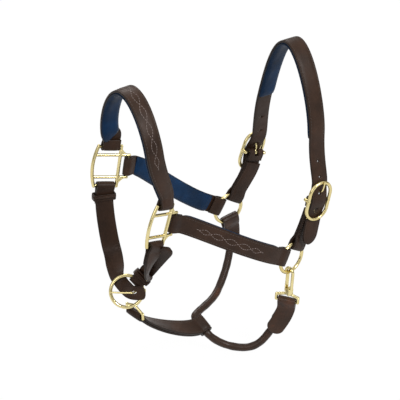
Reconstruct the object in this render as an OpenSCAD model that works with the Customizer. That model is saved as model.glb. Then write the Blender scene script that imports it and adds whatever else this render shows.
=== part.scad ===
// Leather stable halter for a horse, in the shape it has on the head.
// +X runs from the nose to the poll, +Y to the far side, +Z up.
// The origin is where the crown's lining rests on the poll.

/* [Leather] */
// Width of the flat straps
strap_w = 25; // [23:0.5:26]
// Thickness of the strap leather
strap_t = 3.2; // [2.6:0.1:3.6]
// Thickness of the padded linings
pad_t = 5; // [3:0.5:7]
// Diameter of the rolled throat
roll_d = 11; // [9:0.5:13]
// Diameter of a punched hole that a tongue has stretched
hole_d = 6.6; // [6.2:0.1:7.5]
// Diameter of the spare punched holes
spare_d = 3.4; // [2.5:0.1:5]
// Length of the flap sewn under each end of a strap, past its loop
flap = 14; // [12:1:20]
// Width of the keepers along the strap
keeper_w = 9; // [6:0.5:12]
// Thickness of the keeper leather
keeper_t = 2; // [1.5:0.1:2.5]

/* [Brass] */
// Outside diameter of the three rings
ring_od = 47.8; // [46:0.2:52]
// Diameter of the ring wire
ring_wire = 4.8; // [4:0.2:5.4]
// Diameter of the posts and rails of the squares
post_d = 4.6; // [4.2:0.2:5.2]
// Diameter of the bars that the straps fold round
bar_d = 3.8; // [3.2:0.2:4]
// Distance from a square's rail to the bar beside it
slot_pitch = 12; // [11:0.5:14]
// Bulge of a square's front post
bow = 6; // [4:0.5:8]
// Size of the webs in the two rear corners of a square
web = 13; // [6:0.5:14]
// Outside length of the crown buckles
buckle_len = 60; // [56:1:68]
// Diameter of the buckle wire
buckle_wire = 4.8; // [4:0.2:5.4]
// Distance that the buckle's centre bar stands behind its frame
bar_back = 7; // [6.5:0.5:9]
// Diameter of the buckle tongues
tongue_d = 2.6; // [2.2:0.1:2.8]
// Distance from the snap's strap bar to the ring wire in its hook
snap_reach = 50; // [46:1:60]
// Diameter of the snap's hook and shank
hook_d = 4.4; // [3.8:0.2:5]
// Thickness of the snap's gate
gate_t = 1.6; // [1.2:0.1:2]

/* [Head] */
// Distance between the squares, across the nose
nose_w = 128; // [110:1:140]
// Distance between the cheek rings, across the jaw
jaw_w = 150; // [135:1:165]
// Height of the noseband above the squares
nose_up = 160; // [140:1:175]
// Length from the squares back to the cheek rings
cheek_run = 207; // [185:1:225]
// Height of the squares above the cheek rings
cheek_drop = 131; // [115:1:145]
// Height of the crown above the cheek rings
crown_up = 288; // [270:1:310]
// Distance of the crown behind the cheek rings
crown_back = 45; // [30:1:60]
// Depth of the chin ring below the squares
chin_drop = 134; // [128:1:142]
// Distance of the throat's loop behind the squares
loop_back = 112; // [104:1:120]
// Depth of the throat's loop below the squares
loop_drop = 251; // [243:1:259]
// Roll of the noseband, far side up
nose_roll = 12; // [6:1:14]

/* [Hidden] */
$fn = 48;

// Sides of the head
NEAR = -1;
FAR = 1;

// Clearances: leather on brass, between sewn layers, beside a strap in a slot, and round a pivot
fit = 0.35;
seam = 0.2;
side_gap = 0.8;
pivot_fit = 0.05;

// Leather and brass colours
LEATHER = [0.24, 0.19, 0.17];
NAVY = [0.09, 0.2, 0.36];
BRASS = [0.85, 0.75, 0.4];

// Derived sizes of the fittings
ring_r = (ring_od - ring_wire) / 2;
wire_r = ring_wire / 2;
post_r = post_d / 2;
rail_r = post_r - 0.2;
bar_r = bar_d / 2;
arm = strap_w / 2 + side_gap + post_r;
outer_bar = arm + slot_pitch;
arm_tip = outer_bar + bar_r + 0.8;

// Height of the crown strap's middle above the poll
crown_z = pad_t + seam + strap_t / 2;

// A strap folded round a ring reaches in past the wire's curve
ring_sag = ring_r - sqrt(ring_r * ring_r - strap_w * strap_w / 4);
layer = (strap_t + seam) / 2;
close_len = 11;

// Vector helpers
function unit(v) = v / norm(v);
function across(v, along) = unit(v - along * (v * along));
function mix(a, b, f) = a + (b - a) * f;
function smooth(f) = f * f * (3 - 2 * f);

// A frame is an origin with three unit axes
function frame(o, x, z) =
    let (ex = unit(x), ey = unit(cross(z, ex)))
    [o, ex, ey, cross(ex, ey)];
function at(f, p) = f[0] + f[1] * p.x + f[2] * p.y + f[3] * p.z;
function spoke(f, angle) = f[1] * cos(angle) + f[3] * sin(angle);
module place(f) {
    multmatrix([
        [f[1].x, f[2].x, f[3].x, f[0].x],
        [f[1].y, f[2].y, f[3].y, f[0].y],
        [f[1].z, f[2].z, f[3].z, f[0].z],
        [0, 0, 0, 1]
    ]) children();
}

// A path node is a point, a handle along the path and the direction that the strap faces
function curve(a, b, f) =
    let (g = 1 - f)
    a[0] * g * g * g + (a[0] + a[1]) * 3 * g * g * f + (b[0] - b[1]) * 3 * g * f * f + b[0] * f * f * f;
function heading(a, b, f) =
    let (g = 1 - f)
    unit(a[1] * g * g + (b[0] - b[1] - a[0] - a[1]) * 2 * g * f + b[1] * f * f);
function section(a, b, f) =
    let (t = heading(a, b, f), n = across(mix(a[2], b[2], smooth(f)), t))
    [curve(a, b, f), cross(n, t), n, t];
function path(nodes, steps) = [
    for (i = [0 : len(nodes) - 2])
        for (k = [i == 0 ? 0 : 1 : steps])
            section(nodes[i], nodes[i + 1], k / steps)
];
function shifted(line, out) = [for (s = line) [s[0] + s[2] * out, s[1], s[2], s[3]]];

// An anchor is the bar that a strap's end folds round: its centre, the way the strap leaves and its facing
function anchor(p, leave, face) = let (d = unit(leave)) [p, d, across(face, d)];

// Loop round the bar in the plane of leave and face, from where the two layers part to where they meet again
function loop_2d(inner, deep, close) =
    let (r = inner + strap_t / 2)
    let (half = [for (k = [0 : 3]) [k / 4 * close, mix(r, layer, smooth(k / 4))]])
    concat(
        [[close, -layer]],
        [for (k = [3 : -1 : 0]) [half[k].x, -half[k].y]],
        deep > 0 ? [[-deep, -r]] : [],
        [for (k = [1 : 7]) [-deep - r * sin(k * 22.5), -r * cos(k * 22.5)]],
        deep > 0 ? [[-deep, r]] : [],
        half
    );
function loop(a, wide, inner, deep, close = close_len) = [
    for (p = loop_2d(inner, deep, close))
        [a[0] + a[1] * p.x + a[2] * p.y, wide]
];
// Where the outer layer of a loop becomes the strap itself
function leaving(a, reach, close = close_len) = [a[0] + a[1] * close + a[2] * layer, a[1] * reach, a[2]];
function arriving(a, reach) = [a[0] + a[1] * close_len + a[2] * layer, -a[1] * reach, a[2]];
function reversed(list) = [for (i = [len(list) - 1 : -1 : 0]) list[i]];
// The flap lies under the strap's first stretch
function flap_under(run, length) =
    let (d = distances(run))
    [for (i = [1 : len(run) - 1]) if (d[i] < length) [run[i][0] - run[i][2] * 2 * layer, run[i][1]]];
// Length of a flap that reaches the other end's loop
sewn_gap = 2;
function whole(run) = let (d = distances(run)) d[len(d) - 1] - sewn_gap;
// A run of strap with a folded end before it, or after it
function folded(a, inner, deep, flap_len, run) = concat(
    reversed(flap_under(run, flap_len)),
    loop(a, cross(a[2], a[1]), inner, deep),
    run
);
function folded_after(run, a, inner, deep, flap_len) = concat(
    run,
    reversed(loop(a, cross(a[1], a[2]), inner, deep)),
    flap_under(reversed([for (r = run) if (len(r) > 2) r]), flap_len)
);

// Sweep of a cross-section along a line of [centre, width direction]; scales widen or narrow each section
function tangent(line, i) =
    let (last = len(line) - 1, a = line[max(i - 1, 0)][0], b = line[i][0], c = line[min(i + 1, last)][0])
    i == 0 ? unit(c - b) : i == last ? unit(b - a) : unit(unit(b - a) + unit(c - b));
module sweep(line, outline, scales = []) {
    n = len(outline);
    last = len(line) - 1;
    points = [
        for (i = [0 : last])
            let (t = tangent(line, i), face = unit(cross(t, line[i][1])), wide = cross(face, t))
            let (k = len(scales) > 0 ? scales[i] : 1)
            for (p = outline) line[i][0] + wide * (p.x * k) + face * p.y
    ];
    sides = [
        for (i = [0 : last - 1])
            for (j = [0 : n - 1])
                let (a = i * n + j, b = i * n + (j + 1) % n)
                each [[a, a + n, b], [b, a + n, b + n]]
    ];
    caps = [
        for (j = [1 : n - 2])
            each [[0, j, j + 1], [last * n, last * n + j + 1, last * n + j]]
    ];
    polyhedron(points, concat(sides, caps));
}

// Cross-sections, counter-clockwise with width along x and the outer face along +y
edge = 0.7;
function strap_outline(w, t) = [
    [w / 2 - edge, -t / 2], [w / 2, edge - t / 2], [w / 2, t / 2 - edge], [w / 2 - edge, t / 2],
    [edge - w / 2, t / 2], [-w / 2, t / 2 - edge], [-w / 2, edge - t / 2], [edge - w / 2, -t / 2]
];
pad_round = 5;
pad_outline = [
    [strap_w / 2 - pad_round, -pad_t / 2], [strap_w / 2 - 1, -pad_t / 6], [strap_w / 2, pad_t / 4],
    [strap_w / 2 - edge, pad_t / 2], [edge - strap_w / 2, pad_t / 2], [-strap_w / 2, pad_t / 4],
    [1 - strap_w / 2, -pad_t / 6], [pad_round - strap_w / 2, -pad_t / 2]
];
function round_outline(d, sides) = [
    for (k = [0 : sides - 1])
        let (a = k * 360 / sides)
        [cos(a), sin(a)] * d / 2
];
module strap(line, scales = []) sweep(line, strap_outline(strap_w, strap_t), scales);

// Widths that round off the last sections of a strap into a point
function tip_scale(from_tip, length) =
    from_tip >= length ? 1 : max(0.2, sqrt(1 - pow(1 - from_tip / length, 2)));
function distances(line, i = 0, so_far = 0) =
    i == len(line) ? [] : let (d = i == 0 ? 0 : so_far + norm(line[i][0] - line[i - 1][0]))
    concat([d], distances(line, i + 1, d));

// A lining lies under a strap between its two folded ends
module lining(line) {
    sweep(shifted(line, -(strap_t / 2 + seam + pad_t / 2)), pad_outline);
}

// Brass rod with chamfered ends, along z from its middle
module rod(length, r) {
    c = r / 3;
    h = length / 2;
    rotate_extrude() polygon([[0, -h], [r - c, -h], [r, c - h], [r, h - c], [r - c, h], [0, h]]);
}
module rod_x(length, r) rotate([0, 90, 0]) rod(length, r);

// Cheek rings
function ring_at(side) = [-crown_back, side * jaw_w / 2, crown_z - crown_up];
function ring_frame(side) =
    let (toe = side == NEAR ? 12 : 2)
    frame(ring_at(side), [cos(toe), -side * sin(toe), 0], [0, 0, 1]);
cheek_angle = 150;
tab_angle = 57;
throat_angle = -80;
module ring_torus() {
    rotate([90, 0, 0])
    rotate_extrude()
    translate([ring_r, 0])
    circle(wire_r);
}
module near_ring() color(BRASS) place(ring_frame(NEAR)) ring_torus();
module far_ring() color(BRASS) place(ring_frame(FAR)) ring_torus();

// Squares
function square_at(side) =
    [-crown_back - cheek_run, side * nose_w / 2 * cos(nose_roll),
     crown_z - crown_up + cheek_drop + side * nose_w / 2 * sin(nose_roll)];
function square_frame(side) =
    let (toe = 14, pitch = side == NEAR ? 19 : 11, lean = side == NEAR ? 0.06 : 0.1)
    frame(square_at(side), [cos(toe) * cos(pitch), -side * sin(toe), -sin(pitch)],
          [sin(pitch), lean, cos(pitch)]);
module halter_square() {
    web_waist = web * 0.38;
    bow_r = (arm_tip * arm_tip + bow * bow) / (2 * bow);
    bow_angle = asin(arm_tip / bow_r);
    translate([arm, 0, 0]) rod(2 * arm_tip, post_r);
    translate([bow_r - arm - bow, 0, 0])
    rotate([90, 0, 0])
    rotate([0, 0, 180 - bow_angle])
    rotate_extrude(angle = 2 * bow_angle)
    translate([bow_r, 0])
    circle(post_r);
    for (z = [-1, 1]) {
        translate([(arm_tip - arm - bow / 2) / 2, 0, z * arm]) rod_x(arm_tip + arm + bow / 2, rail_r);
        translate([0, 0, z * outer_bar]) rod_x(2 * arm, bar_r);
        translate([arm, 0, z * arm])
        rotate([90, 0, 0])
        translate([0, 0, -rail_r * 0.6])
        linear_extrude(rail_r * 1.2)
        polygon([[0, 0], [web, 0], [web_waist, z * web_waist], [0, z * web]]);
    }
    translate([outer_bar, 0, 0]) rod(2 * arm, bar_r);
}
module near_square() color(BRASS) place(square_frame(NEAR)) halter_square();
module far_square() color(BRASS) place(square_frame(FAR)) halter_square();

// Noseband: folded on the tops of the squares and arched over the nose
nose_inner = bar_r + fit;
function nose_anchor(side) =
    let (f = square_frame(side))
    anchor(at(f, [0, 0, outer_bar]), f[3], f[2] * side);
nose_top = [-crown_back - cheek_run - 8, -2, crown_z - crown_up + cheek_drop + nose_up];
function noseband_run() = path([
    leaving(nose_anchor(NEAR), 16),
    [nose_top + [0, 3 - nose_w / 2, 0.56 * -nose_up + 22], [-4, 1, 30], [0, -1, 0]],
    [nose_top, [0, 30, 1], [-0.05, 0, 1]],
    [nose_top + [4, nose_w / 2 - 8, 0.56 * -nose_up + 12], [3, 4, -30], [0, 1, 0.15]],
    arriving(nose_anchor(FAR), 16)
], 9);
module noseband_strap() {
    near_end = folded(nose_anchor(NEAR), nose_inner, 0, 0, noseband_run());
    color(LEATHER) strap(folded_after(near_end, nose_anchor(FAR), nose_inner, 0, 0));
}
// The section at a given distance along a line
function station(line, d, x) =
    let (i = [for (k = [0 : len(d) - 2]) if (d[k] <= x && x <= d[k + 1]) k][0])
    let (f = (x - d[i]) / (d[i + 1] - d[i]))
    [for (k = [0 : 3]) mix(line[i][k], line[i + 1][k], f)];
// The part of a run that a lining covers, clear of both folded ends
function lined(line, first, last) =
    let (d = distances(line), total = d[len(d) - 1])
    concat(
        [station(line, d, first)],
        [for (i = [0 : len(line) - 1]) if (d[i] > first + 1 && d[i] < total - last - 1) line[i]],
        [station(line, d, total - last)]
    );
under_flap = 7;
module noseband_lining() color(NAVY) lining(lined(noseband_run(), 15, 16));

// Cheek straps: from the squares back to the rings
ring_inner = wire_r + fit;
function cheek_front(side) =
    let (f = square_frame(side))
    anchor(at(f, [outer_bar, 0, 0]), f[1], f[2] * side);
function ring_anchor(side, angle) =
    let (f = ring_frame(side), out = spoke(f, angle))
    anchor(f[0] + out * ring_r, out, f[2] * side);
// How far a strap keeps its direction at each end
cheek_front_ease = 13;
cheek_rear_ease = 60;
function cheek_run_line(side) =
    path([
        leaving(cheek_front(side), cheek_front_ease),
        arriving(ring_anchor(side, cheek_angle), cheek_rear_ease)
    ], 14);
module cheek_strap(side) {
    front = folded(cheek_front(side), bar_r + fit, 0, 0, cheek_run_line(side));
    strap(folded_after(front, ring_anchor(side, cheek_angle), ring_inner, ring_sag, 0));
}
module near_cheek_strap() color(LEATHER) cheek_strap(NEAR);
module far_cheek_strap() color(LEATHER) cheek_strap(FAR);
module near_cheek_lining() color(NAVY) lining(lined(cheek_run_line(NEAR), under_flap, under_flap));
module far_cheek_lining() color(NAVY) lining(lined(cheek_run_line(FAR), under_flap, under_flap));

// Crown buckles: an oval frame with a centre bar behind it
buckle_r = strap_w / 2 + 2 + buckle_wire / 2;
buckle_half = (buckle_len - buckle_wire) / 2;
buckle_out = 9;
near_buckle_back = 35;
near_buckle_up = 84;
far_buckle_back = 45;
far_buckle_up = 76;
function from_ring(side) =
    side == NEAR ? [near_buckle_back, -buckle_out, near_buckle_up]
                 : [far_buckle_back, buckle_out, far_buckle_up];
function buckle_frame(side) =
    let (lean = side == NEAR ? 13 : 19, up = [sin(lean), 0, cos(lean)], out = [0, side, 0])
    [ring_at(side) + from_ring(side), cross(out, up), out, up];
module buckle_shape() {
    straight = buckle_half - buckle_r;
    for (end = [-1, 1]) {
        translate([0, 0, end * straight])
        rotate([90, 0, 0])
        rotate([0, 0, end > 0 ? 0 : 180])
        rotate_extrude(angle = 180)
        translate([buckle_r, 0])
        circle(buckle_wire / 2);
        translate([end * buckle_r, 0, 0]) cylinder(h = 2 * straight, r = buckle_wire / 2, center = true);
        translate([end * buckle_r, -bar_back / 2, 0])
        rotate([90, 0, 0])
        rod(bar_back + 2 * bar_r + 0.8, bar_r + 0.4);
    }
    translate([0, -bar_back, 0]) rod_x(2 * buckle_r, bar_r);
}
module near_buckle_frame() color(BRASS) place(buckle_frame(NEAR)) buckle_shape();
module far_buckle_frame() color(BRASS) place(buckle_frame(FAR)) buckle_shape();

// Crown tabs: from the cheek rings up to the buckles' centre bars, slotted for the tongue
slot_w = 7;
function tab_top(side) =
    let (f = buckle_frame(side))
    anchor(at(f, [0, -bar_back, 0]), -f[3] - f[2] * (side == NEAR ? 0.09 : 0.16), f[2]);
function tab_line(side) =
    let (run = path([leaving(ring_anchor(side, tab_angle), 14), arriving(tab_top(side), 14)], 8))
    let (low = folded(ring_anchor(side, tab_angle), ring_inner, ring_sag, whole(run), run))
    folded_after(low, tab_top(side), bar_r + fit, 0, 0);
module crown_tab(side) {
    a = tab_top(side);
    reach = bar_r + fit + strap_t + 1;
    difference() {
        strap(tab_line(side));
        place([a[0], cross(a[2], a[1]), a[2], -a[1]])
        translate([-slot_w / 2, -2 * reach, -4])
        cube([slot_w, 4 * reach, reach + 4]);
    }
}
module near_crown_tab() color(LEATHER) crown_tab(NEAR);
module far_crown_tab() color(LEATHER) crown_tab(FAR);

// Crown: one strap from billet tip to billet tip, behind each buckle's ends and over its centre bar
behind_frame = -(buckle_wire / 2 + fit + strap_t / 2);
over_bar = -bar_back + bar_r + 2 * fit + strap_t * 1.5;
billet_tail = 37;
billet_point = 17;
// Where the two legs of the crown pass the sides of the head
leg_drop = 111;
near_leg_in = 9;
far_leg_in = 14;
function crown_half(side) =
    let (f = buckle_frame(side), h = buckle_half / 3, up = f[3], out = f[2], skew = side == NEAR ? 2 : 0)
    let (way = up + f[1] * (skew / buckle_half))
    [
        [at(f, [skew, behind_frame + 6, -buckle_half - billet_tail]), up * 10, out],
        [at(f, [-skew, behind_frame, 3 - buckle_half]), way * h, out],
        [at(f, [0, over_bar, 0]), way * h, out],
        [at(f, [skew, behind_frame, buckle_half - 3]), way * h, out],
        side == NEAR ? [[-4, near_leg_in - jaw_w / 2, crown_z - leg_drop], [0, 0, 40], out]
                     : [[2, jaw_w / 2 - far_leg_in, crown_z - leg_drop], [0, -10, 38], out]
    ];
function flipped(nodes) = [for (i = [len(nodes) - 1 : -1 : 0]) [nodes[i][0], -nodes[i][1], nodes[i][2]]];
crown_nodes = concat(
    crown_half(NEAR),
    [[[0, 0, crown_z], [0, 30, -2], [0, 0, 1]]],
    flipped(crown_half(FAR))
);
crown_steps = 7;
crown_line = path(crown_nodes, crown_steps);
crown_scales =
    let (d = distances(crown_line), total = d[len(d) - 1])
    [for (x = d) tip_scale(min(x, total - x), billet_point)];
// The hole in use comes first
function hole_sections(nodes) = [
    section(nodes[2], nodes[3], 0.47),
    section(nodes[1], nodes[2], 0.5),
    section(nodes[3], nodes[4], 0.25),
    section(nodes[3], nodes[4], 0.6)
];
module punch(s, d) place([s[0], s[1], s[3], s[2]]) cylinder(h = 4 * strap_t, d = d, center = true);
module punch_end(holes) {
    for (i = [0 : len(holes) - 1]) punch(holes[i], i == 0 ? hole_d : spare_d);
}
module crown_strap() {
    color(LEATHER)
    difference() {
        strap(crown_line, crown_scales);
        punch_end(hole_sections(crown_half(NEAR)));
        punch_end(hole_sections(crown_half(FAR)));
    }
}
// Length of each end that the lining leaves bare
near_bare = 158;
far_bare = 172;
module crown_lining() color(NAVY) lining(lined(crown_line, near_bare, far_bare));

// Tongue of a buckle: an eye on the bar and a pin that passes through the strap to the far wire
eye_r = bar_r + pivot_fit + 1.4;
eye_w = 5;
module tongue(points, bore, eye) {
    difference() {
        union() {
            rotate([0, 90, 0]) cylinder(h = eye_w, r = eye, center = true);
            sweep([for (p = points) [[0, p.x, p.y], [1, 0, 0]]], round_outline(tongue_d, 10));
        }
        rotate([0, 90, 0]) cylinder(h = 2 * eye_w, r = bore, center = true);
    }
}
rest_on_frame = buckle_wire / 2 + tongue_d / 2 + 0.1;
buckle_tongue_path = [
    [0, bar_r + 0.8], [0, 6.5], [1, 9.8], [bar_back - 3.2, 12.2], [bar_back + 0.6, 14.2],
    [bar_back + rest_on_frame - 0.9, 17], [bar_back + rest_on_frame, buckle_half - 4],
    [bar_back + rest_on_frame, buckle_half + 3]
];
module buckle_tongue(side) {
    place(buckle_frame(side))
    translate([0, -bar_back, 0])
    tongue(buckle_tongue_path, bar_r + pivot_fit, eye_r);
}
module near_buckle_tongue() color(BRASS) buckle_tongue(NEAR);
module far_buckle_tongue() color(BRASS) buckle_tongue(FAR);

// Chin ring: faces forward and to the near side, with a dee for the jaw strap at its lower right
chin_face = unit([-0.45, -0.8, 0.4]);
chin_at = [-crown_back - cheek_run - 22, -17, crown_z - crown_up + cheek_drop - chin_drop];
chin_frame =
    let (right = unit(cross([0, 0, 1], chin_face)))
    [chin_at, right, -chin_face, cross(chin_face, right)];
chin_fold_angle = 42;
chin_tongue_angle = 0;
chin_anchor =
    let (out = spoke(chin_frame, chin_fold_angle))
    anchor(chin_at + out * ring_r, out, -chin_face);
// The dee hangs from the ring in its own plane
dee_angle = -62;
dee_wide = unit([-0.17, 0.98, 0.06]);
dee_neck = chin_at + spoke(chin_frame, dee_angle) * ring_r;
dee_down = across([0.1, 0.1, -1], dee_wide);
dee_drop = 15;
dee_side = 8;
dee_bar = dee_neck + dee_down * dee_drop;
dee_frame = [dee_neck, dee_wide, cross(dee_wide, -dee_down), -dee_down];
module chin_ring() {
    dee_half = strap_w / 2 + side_gap + bar_r;
    color(BRASS) {
        place(chin_frame) ring_torus();
        place(dee_frame) {
            translate([0, 0, -dee_drop]) rod_x(2 * dee_half + bar_r, bar_r);
            for (end = [-1, 1]) {
                slant = [dee_half, dee_drop - dee_side];
                translate([end * dee_half, 0, dee_side / 2 - dee_drop]) rod(dee_side + bar_d, bar_r + 0.2);
                rotate([0, end * (180 - atan2(slant.x, slant.y)), 0])
                translate([0, 0, norm(slant) / 2])
                rod(norm(slant) + 1, bar_r - 0.1);
            }
        }
    }
}

// Both chin straps narrow towards the ring
chin_narrow = 0.76;
function chin_width(x) = mix(chin_narrow, 1, smooth(min(1, max(0, (x - 24) / 30))));
chin_sag = ring_r - sqrt(ring_r * ring_r - pow(strap_w * chin_narrow / 2, 2));
function chin_point(x, z, out) = chin_at + chin_frame[1] * x + chin_frame[3] * z + chin_face * out;
function chin_way(angle, reach) = spoke(chin_frame, angle) * reach;
function chin_bar(side) =
    let (f = square_frame(side))
    anchor(at(f, [0, 0, -outer_bar]), -f[3], -f[2]);

// Near chin strap: down from the near square, round the chin ring and back up outside itself as a free tail
chin_close = 11;
chin_ring_ease = 7;
chin_bar_ease = 34;
near_chin_run = path([
    leaving(chin_anchor, chin_ring_ease, chin_close),
    arriving(chin_bar(NEAR), chin_bar_ease)
], 12);
tail_end = square_at(NEAR) + [5, -14, -29];
tail_run = path([
    [leaving(chin_anchor, 0, chin_close)[0] - chin_anchor[2] * 2 * layer, chin_anchor[1] * 9, chin_anchor[2]],
    [tail_end, [4, -22, 30], unit([1, 0.25, 0])]
], 9);
near_chin_line = concat(
    reversed([for (i = [1 : len(tail_run) - 1]) tail_run[i]]),
    loop(chin_anchor, cross(chin_anchor[2], chin_anchor[1]), ring_inner, chin_sag, chin_close),
    folded_after(near_chin_run, chin_bar(NEAR), bar_r + fit, 0, flap)
);
chin_tip = 12;
// Length of each chin strap that stays narrow past the ring
near_narrow_len = 6;
far_narrow_len = 22;
near_chin_scales =
    let (d = distances(near_chin_line), ring_d = norm(tail_end - chin_anchor[0]))
    [
        for (x = d)
            let (width = x < ring_d ? chin_narrow : chin_width(x - ring_d - near_narrow_len))
            width * tip_scale(x, chin_tip)
    ];
module near_chin_strap() {
    color(LEATHER)
    difference() {
        strap(near_chin_line, near_chin_scales);
        punch(tail_run[4], spare_d);
    }
}

// Far chin strap: down from the far square, behind the ring's left side and out over the near strap's loop
over_ring = wire_r + 2 * fit + strap_t * 1.5 + 0.3;
behind_ring = -(wire_r + fit + strap_t / 2 + 0.3);
far_past_ring = 3;
far_chin_nodes = [
    leaving(chin_bar(FAR), 16),
    [chin_at + [13, 56, 30], [-3, -14, -13], unit([-0.3, -0.85, 0.35])],
    [chin_point(-11, 18, behind_ring), chin_way(-54, 7), chin_face],
    [chin_point(-2.5, 7, 2.8), chin_way(-42, 5) + chin_face * 4.4, chin_face],
    [chin_point(8.5, -0.6, over_ring + 0.5), chin_way(-12, 6), chin_face],
    [chin_point(ring_r + far_past_ring, -0.4, over_ring + 0.6), chin_way(8, 4), chin_face]
];
far_chin_line = folded(chin_bar(FAR), bar_r + fit, 0, flap, path(far_chin_nodes, 8));
far_chin_scales =
    let (d = distances(far_chin_line), total = d[len(d) - 1])
    [for (x = d) chin_width(total - x - far_narrow_len) * tip_scale(total - x, 5)];
module far_chin_strap() {
    color(LEATHER)
    difference() {
        strap(far_chin_line, far_chin_scales);
        place(chin_pivot)
        translate([0, over_ring, chin_hole])
        rotate([90, 0, 0])
        cylinder(h = 4 * strap_t, d = hole_d, center = true);
    }
}

// Chin tongue: pivots on the ring wire beside the near strap's loop
chin_pivot =
    let (out = spoke(chin_frame, chin_tongue_angle))
    [chin_at + out * ring_r, cross(chin_face, -out), chin_face, -out];
// Distance from the pivot to the hole that the tongue passes through
chin_hole = 12;
chin_tongue_path = [
    [0, wire_r + 0.8], [0, 6.5], [1.8, 9.3], [6.8, 11.2], [10.4, 12.9], [12, 16], [8, 2 * ring_r - 12],
    [wire_r + tongue_d / 2 + 0.2, 2 * ring_r - 2], [wire_r + tongue_d / 2, 2 * ring_r + 2]
];
module chin_tongue() {
    color(BRASS)
    place(chin_pivot)
    tongue(chin_tongue_path, wire_r + 0.2, wire_r + 1.6);
}

// Keepers: leather loops that hold two layers together
module keeper(s, wide, layers) {
    thick = layers * (strap_t + seam) + 2 * fit;
    place(s)
    difference() {
        cube([wide + 2 * fit + 2 * keeper_t, thick + 2 * keeper_t, keeper_w], center = true);
        cube([wide + 2 * fit, thick, 2 * keeper_w], center = true);
    }
}
near_keeper_at =
    let (a = chin_anchor)
    [a[0] + a[1] * (chin_close - keeper_w / 2), cross(a[2], a[1]), a[2], a[1]];
far_keeper_at =
    let (s = section(far_chin_nodes[0], far_chin_nodes[1], 0.08))
    [s[0] - s[2] * layer, s[1], s[2], s[3]];
module near_chin_keeper() color(LEATHER) keeper(near_keeper_at, strap_w * chin_narrow + 1, 3.4);
module far_chin_keeper() color(LEATHER) keeper(far_keeper_at, strap_w + 1.7, 2.4);

// Jaw strap: doubled leather from the dee back to a loop round the throat
loop_at = [loop_back - crown_back - cheek_run, 0, crown_z - crown_up + cheek_drop - loop_drop];
loop_wide = unit([-0.16, 0.86, 0.49]);
loop_inner = roll_d / 2 + 3 * fit;
jaw_heading = unit(loop_at - dee_bar);
jaw_front =
    let (way = across(jaw_heading, dee_wide))
    anchor(dee_bar, across(jaw_heading + [0, 0, -0.5], dee_wide), cross(way, dee_wide));
jaw_rear =
    let (way = across(jaw_heading, loop_wide))
    anchor(loop_at, across([0, 0, -0.2] - jaw_heading, loop_wide), cross(way, loop_wide));
jaw_front_ease = 30;
jaw_rear_ease = 34;
jaw_run = path([leaving(jaw_front, jaw_front_ease), arriving(jaw_rear, jaw_rear_ease)], 16);
module jaw_strap() {
    front = folded(jaw_front, bar_r + fit, 0, whole(jaw_run), jaw_run);
    color(LEATHER) strap(folded_after(front, jaw_rear, loop_inner, 0, 0));
}

// Snap: a strap loop, a shank with its hook over the near ring, and a sprung gate
snap_angle = -95;
snap_frame =
    let (f = ring_frame(NEAR), wire = f[0] + spoke(f, snap_angle) * ring_r)
    let (ex = unit([1, 0.12, 0]), ez = across([0.03, -0.06, 1], ex))
    [wire - ez * snap_reach, ex, cross(ez, ex), ez];
hook_r = 6.4;
loop_half = strap_w / 2 + side_gap + bar_r;
loop_h = 13;
loop_side = 8;
// The strap loop is turned on the shank to face the tab's pull
loop_turn = -58;
loop_frame =
    let (f = snap_frame, ex = f[1] * cos(loop_turn) + f[2] * sin(loop_turn))
    [f[0], ex, cross(f[3], ex), f[3]];
gate_w = 6;
gate_base = loop_h + bar_r + 1.2;
gate_top = snap_reach - wire_r - 0.6;
gate_y = hook_r - hook_d / 2 - gate_t / 2 - 0.15;
nose_end = gate_top - 2.6;
// The gate swings a little about its rivet, clear of the block behind it and the rivet's head before it
rivet_z = gate_base + 2.5;
rivet_r = 1.1;
rivet_head = 2.2;
block_h = 10;
block_face = gate_y - gate_t / 2 - 1;
head_face = gate_y + gate_t / 2 + 0.5;
module snap_body() {
    hook_z = snap_reach + wire_r + fit - hook_r + hook_d / 2;
    shoulder = [loop_half, loop_h - loop_side];
    color(BRASS)
    place(loop_frame) {
        rod_x(2 * loop_half, bar_r);
        for (end = [-1, 1]) {
            translate([end * loop_half, 0, loop_side / 2]) rod(loop_side + bar_d, bar_r + 0.3);
            translate([end * shoulder.x / 2, 0, loop_h - shoulder.y / 2])
            rotate([0, 90 + end * atan2(shoulder.y, shoulder.x), 0])
            rod(norm(shoulder) + bar_d, bar_r + 0.3);
        }
    }
    color(BRASS)
    place(snap_frame) {
        translate([-gate_w / 2 - 1, -hook_r, loop_h - 1])
        cube([gate_w + 2, hook_r + block_face, block_h]);
        translate([0, -hook_r, loop_h]) cylinder(h = hook_z - loop_h, r = hook_d / 2);
        translate([0, 0, hook_z])
        rotate([0, 90, 0])
        rotate([0, 0, 90])
        rotate_extrude(angle = 180)
        translate([hook_r, 0])
        circle(hook_d / 2);
        translate([0, hook_r, nose_end]) cylinder(h = hook_z - nose_end, r = hook_d / 2);
    }
}
module snap_gate() {
    color(BRASS)
    place(snap_frame)
    difference() {
        translate([-gate_w / 2, gate_y - gate_t / 2, gate_base])
        cube([gate_w, gate_t, gate_top - gate_base]);
        translate([0, gate_y, rivet_z])
        rotate([90, 0, 0])
        cylinder(h = 2 * gate_t, r = rivet_r + fit, center = true);
    }
}
module snap_rivet() {
    color(BRASS)
    place(snap_frame)
    translate([0, block_face, rivet_z])
    rotate([-90, 0, 0]) {
        cylinder(h = head_face - block_face + 0.5, r = rivet_r);
        translate([0, 0, head_face - block_face]) cylinder(h = 1, r1 = rivet_head, r2 = rivet_head - 0.6);
    }
}

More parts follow.
